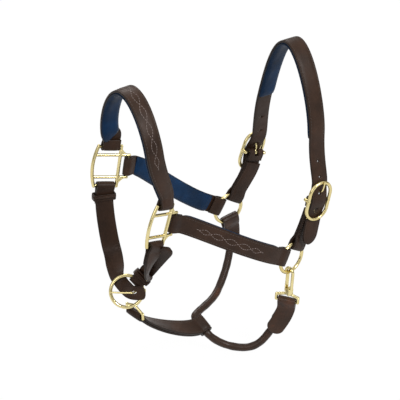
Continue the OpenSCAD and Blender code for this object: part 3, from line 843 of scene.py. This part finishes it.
# Noseband. PAD_GAP values are from a strap's folds to its lining.
NOSE_LEAN = 0.17
NOSE_EASE = {NEAR: 7, FAR: 16}
NOSE_STEPS = 27
NOSE_TOP = vec(NOSE_X - 8, -2, NOSE_Z + NOSE_UP)
NOSE_LEG = -0.56 * NOSE_UP
NOSE_NODES = (
    (NOSE_TOP + vec(0, 3 - NOSE_W / 2, NOSE_LEG + 22), vec(-4, 1, 30), vec(0, -1, 0)),
    (NOSE_TOP, vec(0, 30, 1), vec(-0.05, 0, 1)),
    (NOSE_TOP + vec(4, NOSE_W / 2 - 8, NOSE_LEG + 12), vec(3, 4, -30), vec(0, 1, 0.15)),
)
NOSE_SEWN_FROM = 3
NOSE_DIAMONDS = 9
NOSE_PAD_GAP = {NEAR: 1.5, FAR: 16}


def nose_anchor(side):
    f = square_frame(side)
    return anchor(at(f, 0, 0, OUTER_BAR), f[3] - f[2] * (side * NOSE_LEAN), f[2] * side)


def noseband():
    near, far = nose_anchor(NEAR), nose_anchor(FAR)
    run = path([leaving(near, NOSE_EASE[NEAR]), *NOSE_NODES, arriving(far, NOSE_EASE[FAR])], NOSE_STEPS)
    length = total(run)
    sew_strap("noseband_strap", folded_after(folded(near, run), run, far))
    seats = edge_rows(run, NOSE_SEWN_FROM, length - NOSE_SEWN_FROM)
    stitches("noseband_stitches", seats, EDGE_THREAD)
    stitches("noseband_diamonds", diamonds(run, length / 2, NOSE_DIAMONDS), THREAD)
    pad("noseband_lining", stretch(run, NOSE_PAD_GAP[NEAR], length - NOSE_PAD_GAP[FAR]))


# Cheek straps, from the square to the ring
CHEEK_EASE_FRONT, CHEEK_EASE_REAR = 13, 60
CHEEK_STEPS = 42
CHEEK_SEWN_FROM = 2
CHEEK_DIAMONDS = 5
CHEEK_DIAMONDS_FORWARD = 5
CHEEK_PAD_GAP_FRONT, CHEEK_PAD_GAP_REAR = 1.5, 7


def cheek(name):
    side = SIDES[name]
    f = square_frame(side)
    rear = ring_anchor(side, CHEEK_ANGLE)
    bar = at(f, OUTER_BAR, 0, 0)
    front = anchor(bar, across(rear[0] - bar, f[3]), f[2] * side)
    run = path([leaving(front, CHEEK_EASE_FRONT), arriving(rear, CHEEK_EASE_REAR)], CHEEK_STEPS)
    length = total(run)
    sew_strap(name + "_cheek_strap", folded_after(folded(front, run), run, rear, RING_INNER, RING_SAG))
    seats = edge_rows(run, CHEEK_SEWN_FROM, length - CHEEK_SEWN_FROM)
    stitches(name + "_cheek_stitches", seats, EDGE_THREAD)
    seats = diamonds(run, length / 2 - CHEEK_DIAMONDS_FORWARD, CHEEK_DIAMONDS)
    stitches(name + "_cheek_diamonds", seats, THREAD)
    pad(name + "_cheek_lining", stretch(run, CHEEK_PAD_GAP_FRONT, length - CHEEK_PAD_GAP_REAR))


# Crown tabs, from the ring to the buckle's bar, with a slot for the tongue
SLOT_W = 7.0
SLOT_PAST = 4.0
SLOT_SPARE = 1.0
TAB_LEAN = {NEAR: 0.09, FAR: 0.16}
TAB_EASE = 14
TAB_STEPS = 24


def crown_tab(name):
    side = SIDES[name]
    f = buckle_frame(side)
    low = ring_anchor(side, TAB_ANGLE)
    top = anchor(at(f, 0, -BAR_BACK, 0), -f[3] - f[2] * TAB_LEAN[side], f[2])
    run = path([leaving(low, TAB_EASE), arriving(top, TAB_EASE)], TAB_STEPS)
    line = folded_after(folded(low, run, RING_INNER, RING_SAG, whole(run)), run, top)
    reach = BAR_INNER + STRAP_T + SLOT_SPARE
    slot_frame = top[0], np.cross(top[2], top[1]), top[2], -top[1]
    slot = box(slot_frame, (-SLOT_W / 2, -2 * reach, -SLOT_PAST), (SLOT_W / 2, 2 * reach, reach))
    sew_strap(name + "_crown_tab", line, holes=[slot])
    sew_doubled(name + "_tab_stitches", run)


# Crown. Holes are the node that they follow and their share of the way to the next one.
BEHIND_FRAME = -(BUCKLE_WIRE / 2 + FIT + STRAP_T / 2)
OVER_BAR = -BAR_BACK + BAR_R + 2 * FIT + STRAP_T * 1.5
BILLET_TAIL = 37.0
BILLET_POINT = 17.0
BILLET_OUT = 6
BILLET_EASE = 10
FRAME_IN = 3
CROWN_SKEW = {NEAR: 2, FAR: 0}
LEG_DROP = 111.0
CROWN_LEG = {
    NEAR: (vec(-4, 9 - JAW_W / 2, CROWN_Z - LEG_DROP), vec(0, 0, 40)),
    FAR: (vec(2, JAW_W / 2 - 14, CROWN_Z - LEG_DROP), vec(0, -10, 38)),
}
CROWN_TOP = (vec(0, 0, CROWN_Z), vec(0, 30, -2), vec(0, 0, 1))
CROWN_STEPS = 21
CROWN_PAD = {NEAR: 158.0, FAR: 172.0}
TONGUE_HOLE = (2, 0.47)
SPARE_HOLES = ((1, 0.5), (3, 0.25), (3, 0.6))


def crown_half(side):
    """Nodes from a billet's point, over its buckle's bar and up to the leg."""
    f = buckle_frame(side)
    up, out = f[3], f[2]
    skew = CROWN_SKEW[side]
    ease = (up + f[1] * (skew / BUCKLE_HALF)) * (BUCKLE_HALF / 3)
    return [
        (at(f, skew, BEHIND_FRAME + BILLET_OUT, -BUCKLE_HALF - BILLET_TAIL), up * BILLET_EASE, out),
        (at(f, -skew, BEHIND_FRAME, FRAME_IN - BUCKLE_HALF), ease, out),
        (at(f, 0, OVER_BAR, 0), ease, out),
        (at(f, skew, BEHIND_FRAME, BUCKLE_HALF - FRAME_IN), ease, out),
        (*CROWN_LEG[side], out),
    ]


def crown():
    near, far = crown_half(NEAR), crown_half(FAR)
    run = path(near + [CROWN_TOP] + [(p, -h, n) for p, h, n in reversed(far)], CROWN_STEPS)
    d = distances(run)
    length = d[-1]
    scales = [tip_scale(min(x, length - x), BILLET_POINT) for x in d]
    holes = []
    for half in (near, far):
        first, f = TONGUE_HOLE
        holes.append(punch(section(half[first], half[first + 1], f), HOLE_D, WORN_NARROW))
        for first, f in SPARE_HOLES:
            holes.append(punch(section(half[first], half[first + 1], f), SPARE_D))
    sew_strap("crown_strap", run, scales, holes=holes)
    lined = CROWN_PAD[NEAR], length - CROWN_PAD[FAR]
    stitches("crown_stitches", edge_rows(run, *lined), EDGE_THREAD)
    pad("crown_lining", stretch(run, *lined))


# Chin ring, and the two straps that meet in it
CHIN_FACE = unit(vec(-0.45, -0.8, 0.4))
CHIN_AT = vec(NOSE_X - 22, -17, NOSE_Z - CHIN_DROP)
CHIN_RIGHT = unit(np.cross(vec(0, 0, 1), CHIN_FACE))
CHIN_FRAME = (CHIN_AT, CHIN_RIGHT, -CHIN_FACE, np.cross(CHIN_FACE, CHIN_RIGHT))
CHIN_FOLD_ANGLE = 42
CHIN_TONGUE_ANGLE = 0
CHIN_NARROW = 0.76
CHIN_WIDEN = 30
CHIN_SAG = RING_R - math.sqrt(RING_R**2 - (STRAP_W * CHIN_NARROW / 2) ** 2)
CHIN_HOLE = 12.0
OVER_RING = WIRE_R + 2 * FIT + STRAP_T * 1.5 + RING_SLACK
BEHIND_RING = -(WIRE_R + FIT + STRAP_T / 2 + RING_SLACK)
DEE_WIDE = unit(vec(-0.17, 0.98, 0.06))
DEE_DOWN = across(vec(0.1, 0.1, -1), DEE_WIDE)
DEE_DROP = 15.0
DEE_ANGLE = -62


def chin_point(x, z, out):
    return CHIN_AT + CHIN_FRAME[1] * x + CHIN_FRAME[3] * z + CHIN_FACE * out


def chin_way(angle, reach):
    return spoke(CHIN_FRAME, angle) * reach


def chin_width(past):
    """Width share at a distance past the narrow part."""
    return mix(CHIN_NARROW, 1, smooth(past / CHIN_WIDEN))


def chin_bar(side):
    f = square_frame(side)
    return anchor(at(f, 0, 0, -OUTER_BAR), -f[3], -f[2])


# Near chin strap, with its free tail turned towards the viewer
NEAR_CHIN_EASE_RING, NEAR_CHIN_EASE_BAR = 7, 34
NEAR_CHIN_STEPS = 36
NEAR_NARROW_PAST = 30
NEAR_CHIN_SEWN = (24, 2)
TAIL_EASE = 9
TAIL_STEPS = 27
TAIL_HOLE = 12
TAIL_TIP = 12.0
TAIL_END = (square_frame(NEAR)[0] + vec(5, -14, -29), vec(4, -22, 30), unit(vec(0.75, 0.9, 0)))
NEAR_KEEPER_SPARE = 1
NEAR_KEEPER_LAYERS = 3.4


def near_chin():
    out = chin_way(CHIN_FOLD_ANGLE, 1)
    a = anchor(CHIN_AT + chin_way(CHIN_FOLD_ANGLE, RING_R), out, -CHIN_FACE)
    bar = chin_bar(NEAR)
    run = path([leaving(a, NEAR_CHIN_EASE_RING), arriving(bar, NEAR_CHIN_EASE_BAR)], NEAR_CHIN_STEPS)
    start = a[0] + a[1] * CLOSE_LEN - a[2] * LAYER
    tail = path([(start, a[1] * TAIL_EASE, a[2]), TAIL_END], TAIL_STEPS)
    width = np.cross(a[2], a[1])
    line = tail[:0:-1] + loop(a, width, RING_INNER, CHIN_SAG) + run
    line = folded_after(line, run, bar, flap=FLAP)
    narrow = np.linalg.norm(TAIL_END[0] - a[0]) + NEAR_NARROW_PAST
    scales = [chin_width(x - narrow) * tip_scale(x, TAIL_TIP) for x in distances(line)]
    hole = punch(tail[TAIL_HOLE], SPARE_D)
    sew_strap("near_chin_strap", line, scales, holes=[hole], sewn=False)
    first, last = (total(run) - x for x in NEAR_CHIN_SEWN)
    stitches("near_chin_stitches", turned(edge_rows(run, first, last, ON_BACK)), EDGE_THREAD)
    seat = a[0] + a[1] * (CLOSE_LEN - KEEPER_W / 2), width, a[2], a[1]
    wide = STRAP_W * CHIN_NARROW + NEAR_KEEPER_SPARE
    keeper("near_chin_keeper", seat, wide, NEAR_KEEPER_LAYERS, MAIN_BODY)


# Far chin strap, which passes behind the ring's wire, over the tongue and just past the ring
FAR_CHIN_STEPS = 24
FAR_NARROW_PAST = 46
FAR_PAST_RING = 3.0
FAR_TIP = 5
FAR_CHIN_SEWN = (1, 20)
FAR_CHIN_NODES = (
    leaving(chin_bar(FAR), 16),
    (CHIN_AT + vec(13, 56, 30), vec(-3, -14, -13), unit(vec(-0.3, -0.85, 0.35))),
    (chin_point(-11, 18, BEHIND_RING), chin_way(-54, 7), CHIN_FACE),
    (chin_point(-2.5, 7, 2.8), chin_way(-42, 5) + CHIN_FACE * 4.4, CHIN_FACE),
    (chin_point(8.5, -0.6, OVER_RING + 0.5), chin_way(-12, 6), CHIN_FACE),
    (chin_point(RING_R + FAR_PAST_RING, -0.4, OVER_RING + 0.6), chin_way(8, 4), CHIN_FACE),
)
FAR_KEEPER_AT = 0.08
FAR_KEEPER_SPARE = 1.7
FAR_KEEPER_LAYERS = 2.4


def far_chin():
    run = path(FAR_CHIN_NODES, FAR_CHIN_STEPS)
    line = folded(chin_bar(FAR), run, flap=FLAP)
    from_end = total(line) - distances(line)
    scales = [chin_width(x - FAR_NARROW_PAST) * tip_scale(x, FAR_TIP) for x in from_end]
    out = spoke(CHIN_FRAME, CHIN_TONGUE_ANGLE)
    middle = CHIN_AT + out * RING_R + CHIN_FACE * OVER_RING - out * CHIN_HOLE
    hole = punch((middle, np.cross(CHIN_FACE, -out), CHIN_FACE, -out), HOLE_D, WORN_NARROW)
    sew_strap("far_chin_strap", line, scales, holes=[hole], sewn=False)
    stitches("far_chin_stitches", edge_rows(run, *FAR_CHIN_SEWN), EDGE_THREAD)
    s = section(FAR_CHIN_NODES[0], FAR_CHIN_NODES[1], FAR_KEEPER_AT)
    seat = s[0] - s[2] * LAYER, s[1], s[2], s[3]
    keeper("far_chin_keeper", seat, STRAP_W + FAR_KEEPER_SPARE, FAR_KEEPER_LAYERS, "far_chin_keeper")


# Jaw strap, from the chin ring's dee to a loop round the throat
LOOP_AT = vec(NOSE_X + LOOP_BACK, 0, NOSE_Z - LOOP_DROP)
LOOP_WIDE = unit(vec(-0.16, 0.86, 0.49))
JAW_DROP_FRONT = vec(0, 0, -0.5)
JAW_DROP_REAR = vec(0, 0, -0.2)
JAW_EASE_FRONT, JAW_EASE_REAR = 30, 34
JAW_STEPS = 48


def jaw():
    bar = CHIN_AT + chin_way(DEE_ANGLE, RING_R) + DEE_DOWN * DEE_DROP
    heading = unit(LOOP_AT - bar)
    facing = np.cross(across(heading, DEE_WIDE), DEE_WIDE)
    front = anchor(bar, across(heading + JAW_DROP_FRONT, DEE_WIDE), facing)
    facing = np.cross(across(heading, LOOP_WIDE), LOOP_WIDE)
    rear = anchor(LOOP_AT, across(JAW_DROP_REAR - heading, LOOP_WIDE), facing)
    run = path([leaving(front, JAW_EASE_FRONT), arriving(rear, JAW_EASE_REAR)], JAW_STEPS)
    line = folded_after(folded(front, run, flap=whole(run)), run, rear, ROLL_D / 2 + 3 * FIT)
    sew_strap("jaw_strap", line)
    sew_doubled("jaw_stitches", run)


# Throat: a rolled strap between the far ring's tab and the snap's tab
SNAP_ANGLE = -95
SNAP_WIDE = unit(vec(1, 0.12, 0))
SNAP_UP = across(vec(0.03, -0.06, 1), SNAP_WIDE)
LOOP_TURN = -58
TAB_FLAP = 24.0
TAB_END_SCALE = 0.55
TAB_END_LEN = 22
TAB_TIP = 10
THROAT_TAB_EASE = 10
THROAT_TAB_STEPS = 30
THROAT_STEPS = 24
ROLL_SIDES = 28
ROLL_FIT = 0.985
ROLL_CREASE = 0.018
CREASE_WAVES = ((4.1, 0), (2.3, 0.7))
IN_LOOP, IN_LOOP_EASE = 13, 9


def snap_frame():
    f = ring_frame(NEAR)
    wire_at = f[0] + spoke(f, SNAP_ANGLE) * RING_R
    return wire_at - SNAP_UP * SNAP_REACH, SNAP_WIDE, np.cross(SNAP_UP, SNAP_WIDE), SNAP_UP


def snap_loop():
    """The snap's strap loop, turned on the shank."""
    f = snap_frame()
    ex = f[1] * cosd(LOOP_TURN) + f[2] * sind(LOOP_TURN)
    return f[0], ex, np.cross(f[3], ex), f[3]


def far_tab_scale(x):
    return mix(TAB_END_SCALE, 1, smooth(x / TAB_END_LEN))


def near_tab_scale(x):
    return tip_scale(x, TAB_TIP)


def throat_tab(node, a, end, end_scale, inner, deep):
    """A tab from a fitting to an end node. Gives its nodes."""
    nodes = leaving(a, THROAT_TAB_EASE), end
    line = folded(a, path(nodes, THROAT_TAB_STEPS), inner, deep, TAB_FLAP)
    scales = [end_scale(x) for x in total(line) - distances(line)]
    sew_strap(node, line, scales, ROLLED, sewn=False)
    return nodes


def creased(d, x, y):
    size = (1 - ROLL_CREASE * waves(d, CREASE_WAVES)[:, None]) * ROLL_FIT
    return x * size, y * size


def throat():
    far = ring_anchor(FAR, THROAT_ANGLE)
    far_end = far[0] + vec(-7, -11, -40), vec(-5, -4, -11), vec(0, 1, 0)
    throat_tab("far_throat_tab", far, far_end, far_tab_scale, RING_INNER, RING_SAG)
    s = snap_loop()
    near = anchor(s[0], -s[3], -s[2])
    near_end = near[0] + vec(-20, 6, -49), vec(-8, 4, -13), vec(-0.6, -0.8, 0)
    near_nodes = throat_tab("near_throat_tab", near, near_end, near_tab_scale, BAR_INNER, 0)

    def under_tab(f, reach):
        e = section(*near_nodes, f)
        return e[0] - e[2] * (STRAP_T / 2 + SEAM + ROLL_D / 2), -e[3] * reach, e[2]

    run = path([
        (far_end[0], vec(-7, -7, -16), vec(0, 1, 0)),
        (LOOP_AT + vec(52, 36, 18), vec(-20, -13, -9), vec(0, 1, 0)),
        (LOOP_AT + LOOP_WIDE * IN_LOOP, -LOOP_WIDE * IN_LOOP_EASE, vec(1, 0, 0)),
        (LOOP_AT - LOOP_WIDE * IN_LOOP, -LOOP_WIDE * IN_LOOP_EASE, vec(1, 0, 0)),
        (LOOP_AT + vec(39, -40, -29), vec(18, -19, 2), vec(0, -1, 0)),
        under_tab(1, 16),
        under_tab(0.75, 3),
    ], THROAT_STEPS)
    obj = sweep("leather_throat_roll", run, round_outline(ROLL_D, ROLL_SIDES), ROLLED, shape=creased)
    place_piece(obj, MAIN_BODY, "throat_roll")


# Brass
CAST_VOXEL = 0.42
CAST_PASSES = 7
CAST_SOFTEN = 0.5
ROUND_SIDES = 24
ROD_STEPS = 12
ROD_FROM = 2
ARC_STEPS = 72
BLUNT_LEN = 0.9
BLUNT_TIP = 0.6
ROD_ENDS = [0, 0.3, BLUNT_LEN]
RAIL_D = POST_D - 0.4
ARM_TIP = OUTER_BAR + BAR_R + 0.8
BOW = 6.0
BOW_R = (ARM_TIP**2 + BOW**2) / (2 * BOW)
BOW_HALF = math.degrees(math.asin(ARM_TIP / BOW_R))
WEB = 13.0
WEB_HOLLOW = 1.4
WEB_STEPS = 8
WEB_HALF_T = RAIL_D * 0.3
BUCKLE_R = STRAP_W / 2 + 2 + BUCKLE_WIRE / 2
LUG_R = BAR_R + 0.4
DEE_HALF = STRAP_W / 2 + SIDE_GAP + BAR_R
DEE_BAR_HALF = DEE_HALF + BAR_R / 2
DEE_SIDE = 8.0
DEE_SIDE_D = BAR_D + 0.4
DEE_ARM_D = BAR_D - 0.2
HOOK_R = 6.4
HOOK_D = 4.4
HOOK_Z = SNAP_REACH + WIRE_R + FIT - HOOK_R + HOOK_D / 2
HOOK_BEND = HOOK_Z - 1
HOOK_END = SNAP_REACH - WIRE_R - 3.2
HOOK_FALL_STEPS = 5
SNAP_LOOP_H = 13.0
SNAP_LOOP_SIDE = 8.0
SNAP_SIDE_D = BAR_D + 0.6
BLOCK_LOW = (-4.0, -HOOK_R, SNAP_LOOP_H - 1)
BLOCK_HIGH = (4.0, 1.45, SNAP_LOOP_H + 9)
CAST_AS_SOLID = {
    "snap_rivet": MAIN_BODY, "snap_gate": "snap_gate", "chin_tongue": "chin_tongue",
    "near_buckle_tongue": "near_buckle_tongue", "far_buckle_tongue": "far_buckle_tongue",
}


def blunt(d, x, y):
    """Rounds off both ends of a rod."""
    end = np.clip(np.minimum(d, d[-1] - d) / BLUNT_LEN, 0, 1)
    scale = (BLUNT_TIP + (1 - BLUNT_TIP) * np.sqrt(end))[:, None]
    return x * scale, y * scale


def wire(points, d, wide, closed=False):
    line = [(p, wide) for p in points]
    shape = None if closed else blunt
    return sweep("wire", line, round_outline(d, ROUND_SIDES), BRASS, closed=closed, shape=shape)


def rod(f, a, b, d, wide):
    """A straight rod between two places in a frame, with its sides set by one of the frame's axes."""
    a, b = at(f, *a), at(f, *b)
    length = np.linalg.norm(b - a)
    inner = list(np.linspace(ROD_FROM, length - ROD_FROM, ROD_STEPS))
    places = ROD_ENDS + inner + [length - x for x in reversed(ROD_ENDS)]
    return wire([mix(a, b, x / length) for x in places], d, f[wide])


def bend(f, middle, r, first, last):
    """Points round a middle in a frame's x-z plane."""
    angles = np.linspace(first, last, ARC_STEPS + 1)
    return [at(f, middle[0] + r * cosd(a), 0, middle[1] + r * sind(a)) for a in angles]


def polish(obj):
    """Runs corners and joints together, as cast and polished brass has them."""
    remesh = obj.modifiers.new("remesh", "REMESH")
    remesh.mode = "VOXEL"
    remesh.voxel_size = CAST_VOXEL * MM
    remesh.use_smooth_shade = True
    soften = obj.modifiers.new("soften", "SMOOTH")
    soften.factor = CAST_SOFTEN
    soften.iterations = CAST_PASSES
    bpy.context.view_layer.objects.active = obj
    for modifier in ("remesh", "soften"):
        bpy.ops.object.modifier_apply(modifier=modifier)


def fuse(node, body, shells):
    """Rods, wires and blocks as one casting."""
    verts, faces = [], []
    for shell in shells:
        base = len(verts)
        verts += [np.array(v.co) / MM for v in shell.data.vertices]
        faces += [tuple(base + i for i in face.vertices) for face in shell.data.polygons]
        bpy.data.objects.remove(shell)
    obj = new_object("cast_" + node, verts, faces, BRASS)
    polish(obj)
    return place_piece(obj, body, node)


def cast(node, body):
    """A small solid as it is, with its corners run together."""
    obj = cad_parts[node].copy()
    obj.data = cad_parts[node].data.copy()
    for key in list(obj.keys()):
        del obj[key]
    obj.name = "cast_" + node
    obj.parent = None
    link(obj)
    obj.data.materials.clear()
    obj.data.materials.append(BRASS)
    polish(obj)
    return place_piece(obj, body, node)


def ring(f):
    return wire(bend(f, (0, 0), RING_R, 0, 360)[:-1], RING_WIRE, f[2], True)


def cheek_ring(name):
    node = name + "_ring"
    fuse(node, node, [ring(ring_frame(SIDES[name]))])


def web(f, z):
    """The hollow-edged web in a rear corner of a square."""
    shares = [k / WEB_STEPS for k in range(WEB_STEPS + 1)]
    outline = [(0, 0)] + [(WEB * (1 - k) ** WEB_HOLLOW, WEB * k**WEB_HOLLOW) for k in shares]
    verts = [at(f, ARM + x, y, z * (ARM + h)) for y in (-WEB_HALF_T, WEB_HALF_T) for x, h in outline]
    n = len(outline)
    faces = [tuple(range(n)), tuple(range(2 * n - 1, n - 1, -1))]
    faces += [(i, i + n, (i + 1) % n + n, (i + 1) % n) for i in range(n)]
    return new_object("web", verts, faces, BRASS)


def square(name):
    f = square_frame(SIDES[name])
    bow = bend(f, (BOW_R - ARM - BOW, 0), BOW_R, 180 - BOW_HALF, 180 + BOW_HALF)
    shells = [
        rod(f, (ARM, 0, -ARM_TIP), (ARM, 0, ARM_TIP), POST_D, 1),
        rod(f, (OUTER_BAR, 0, -ARM), (OUTER_BAR, 0, ARM), BAR_D, 1),
        wire(bow, POST_D, f[2]),
    ]
    for z in (-1, 1):
        shells.append(rod(f, (-ARM - BOW / 2, 0, z * ARM), (ARM_TIP, 0, z * ARM), RAIL_D, 2))
        shells.append(rod(f, (-ARM, 0, z * OUTER_BAR), (ARM, 0, z * OUTER_BAR), BAR_D, 2))
        shells.append(web(f, z))
    fuse(name + "_square", MAIN_BODY, shells)


def buckle(name):
    f = buckle_frame(SIDES[name])
    straight = BUCKLE_HALF - BUCKLE_R
    oval = bend(f, (0, straight), BUCKLE_R, 0, 180) + bend(f, (0, -straight), BUCKLE_R, 180, 360)
    shells = [
        wire(oval, BUCKLE_WIRE, f[2], True),
        rod(f, (-BUCKLE_R, -BAR_BACK, 0), (BUCKLE_R, -BAR_BACK, 0), BAR_D, 2),
    ]
    for x in (-BUCKLE_R, BUCKLE_R):
        shells.append(rod(f, (x, -BAR_BACK - LUG_R, 0), (x, LUG_R, 0), 2 * LUG_R, 1))
    fuse(name + "_buckle_frame", MAIN_BODY, shells)


def chin_ring():
    f = CHIN_AT + chin_way(DEE_ANGLE, RING_R), DEE_WIDE, np.cross(DEE_WIDE, -DEE_DOWN), -DEE_DOWN
    side_top = DEE_SIDE - DEE_DROP
    shells = [
        ring(CHIN_FRAME),
        rod(f, (-DEE_BAR_HALF, 0, -DEE_DROP), (DEE_BAR_HALF, 0, -DEE_DROP), BAR_D, 2),
    ]
    for x in (-DEE_HALF, DEE_HALF):
        shells.append(rod(f, (x, 0, -DEE_DROP - BAR_R), (x, 0, side_top + BAR_R), DEE_SIDE_D, 2))
        shells.append(rod(f, (0, 0, 0), (x, 0, side_top), DEE_ARM_D, 2))
    fuse("chin_ring", MAIN_BODY, shells)


def snap():
    f = snap_frame()
    g = snap_loop()
    shells = [rod(g, (-DEE_HALF, 0, 0), (DEE_HALF, 0, 0), BAR_D, 2), box(f, BLOCK_LOW, BLOCK_HIGH)]
    for x in (-DEE_HALF, DEE_HALF):
        shells.append(rod(g, (x, 0, -BAR_R), (x, 0, SNAP_LOOP_SIDE + BAR_R), SNAP_SIDE_D, 2))
        shells.append(rod(g, (0, 0, SNAP_LOOP_H), (x, 0, SNAP_LOOP_SIDE), SNAP_SIDE_D, 2))
    hook = f[0], f[2], -f[1], f[3]
    rise = [at(hook, -HOOK_R, 0, z) for z in np.linspace(SNAP_LOOP_H, HOOK_BEND, ROD_STEPS)]
    fall = [at(hook, HOOK_R, 0, z) for z in np.linspace(HOOK_BEND, HOOK_END, HOOK_FALL_STEPS)]
    shells.append(wire(rise + bend(hook, (0, HOOK_Z), HOOK_R, 180, 0) + fall, HOOK_D, hook[2]))
    fuse("snap_body", MAIN_BODY, shells)


# Camera, fitted to the photograph: AIM_POINT is seen at AIM_PIXEL
CAMERA_AZIMUTH = -33.0
CAMERA_HEIGHT = 32.0
CAMERA_DISTANCE = 3000.0
CAMERA_CLIP = 50
MM_PER_PIXEL = 1.31
PICTURE = 400
AIM_POINT = vec(NOSE_X, 0, NOSE_Z)
AIM_PIXEL = (133.6, 195.5)


def camera():
    a, e = CAMERA_AZIMUTH, CAMERA_HEIGHT
    back = vec(sind(a) * cosd(e), -cosd(a) * cosd(e), sind(e))
    right = vec(cosd(a), sind(a), 0)
    up = np.cross(back, right)
    focal = CAMERA_DISTANCE / MM_PER_PIXEL
    middle = PICTURE / 2
    look = right * (middle - AIM_PIXEL[0]) / focal - up * (middle - AIM_PIXEL[1]) / focal - back
    z = -unit(look)
    x = unit(np.cross(up, z))
    y = np.cross(z, x)
    data = bpy.data.cameras.new("camera")
    data.sensor_fit = "HORIZONTAL"
    data.angle = 2 * math.atan(middle / focal)
    data.clip_end = CAMERA_CLIP
    obj = link(bpy.data.objects.new("camera", data))
    spot = (AIM_POINT + back * CAMERA_DISTANCE) * MM
    obj.matrix_world = Matrix([(x[i], y[i], z[i], spot[i]) for i in range(3)] + [(0, 0, 0, 1)])
    bpy.context.scene.camera = obj


# Floor and light, in metres
FLOOR_DROP = 0.004
FLOOR_HALF = 12
FLOOR_GREY = 0.3
FLOOR_ROUGHNESS = 0.9
WHITE_GLOW = 1.08
WHITE_SHARE = 0.9
WHITE_RAYS = ("Is Glossy Ray", "Is Transmission Ray")
HORIZON = 0.2
ZENITH = 0.95
SKY = (1.0, 0.98, 0.95, 1)
LAMP_TARGET = (-0.12, 0, -0.2)
LAMPS = {  # place, width and watts
    "key": ((0.4, -2.4, 2.0), 1.1, 58),
    "fill": ((-2.2, -0.9, 1.2), 1.6, 13),
    "rim": ((0.6, 2.0, 1.6), 1.2, 22),
}


def floor():
    """A pale floor that the camera, metal and glass see as white, with the object's shadow on it."""
    low = cad_box[0][2] - FLOOR_DROP
    corners = ((-1, -1), (1, -1), (1, 1), (-1, 1))
    mesh = bpy.data.meshes.new("floor")
    mesh.from_pydata([(x * FLOOR_HALF, y * FLOOR_HALF, low) for x, y in corners], [], [(0, 1, 2, 3)])
    obj = link(bpy.data.objects.new("floor", mesh))
    s = Shader("floor")
    s.set(Base_Color=grey(FLOOR_GREY), Roughness=FLOOR_ROUGHNESS)
    seen = s.add("ShaderNodeLightPath").outputs
    shown = seen["Is Camera Ray"]
    for ray in WHITE_RAYS:
        shown = s.join("MAXIMUM", shown, seen[ray])
    glow = s.add("ShaderNodeEmission", Color=grey(1), Strength=WHITE_GLOW)
    both = s.add("ShaderNodeMixShader")
    parts = s.join("MULTIPLY", shown, WHITE_SHARE), s.surface.outputs[0], glow.outputs[0]
    for socket, value in enumerate(parts):
        s.put(both, socket, value)
    s.put(s.tree.nodes["Material Output"], "Surface", both.outputs[0])
    mesh.materials.append(s.material)


def lamp(name, spot, size, watts):
    data = bpy.data.lights.new(name, "AREA")
    data.shape = "DISK"
    data.size = size
    data.energy = watts
    obj = link(bpy.data.objects.new(name, data))
    obj.location = spot
    obj.rotation_euler = (Vector(LAMP_TARGET) - Vector(spot)).to_track_quat("-Z", "Y").to_euler()


def light():
    scene = bpy.context.scene
    world = bpy.data.worlds.new("studio")
    scene.world = world
    world.use_nodes = True
    tree = world.node_tree
    split = tree.nodes.new("ShaderNodeSeparateXYZ")
    sky = tree.nodes.new("ShaderNodeMapRange")
    tree.links.new(tree.nodes.new("ShaderNodeTexCoord").outputs["Generated"], split.inputs[0])
    tree.links.new(split.outputs["Z"], sky.inputs["Value"])
    sky.inputs["To Min"].default_value = HORIZON
    sky.inputs["To Max"].default_value = ZENITH
    tree.nodes["Background"].inputs["Color"].default_value = SKY
    tree.links.new(sky.outputs["Result"], tree.nodes["Background"].inputs["Strength"])
    for name, (spot, size, watts) in LAMPS.items():
        lamp(name, spot, size, watts)
    scene.view_settings.view_transform = "Standard"


camera()
floor()
light()
noseband()
for side_name in SIDES:
    cheek(side_name)
    crown_tab(side_name)
    cheek_ring(side_name)
    square(side_name)
    buckle(side_name)
crown()
near_chin()
far_chin()
jaw()
throat()
chin_ring()
snap()
for brass_node, brass_body in CAST_AS_SOLID.items():
    cast(brass_node, brass_body)
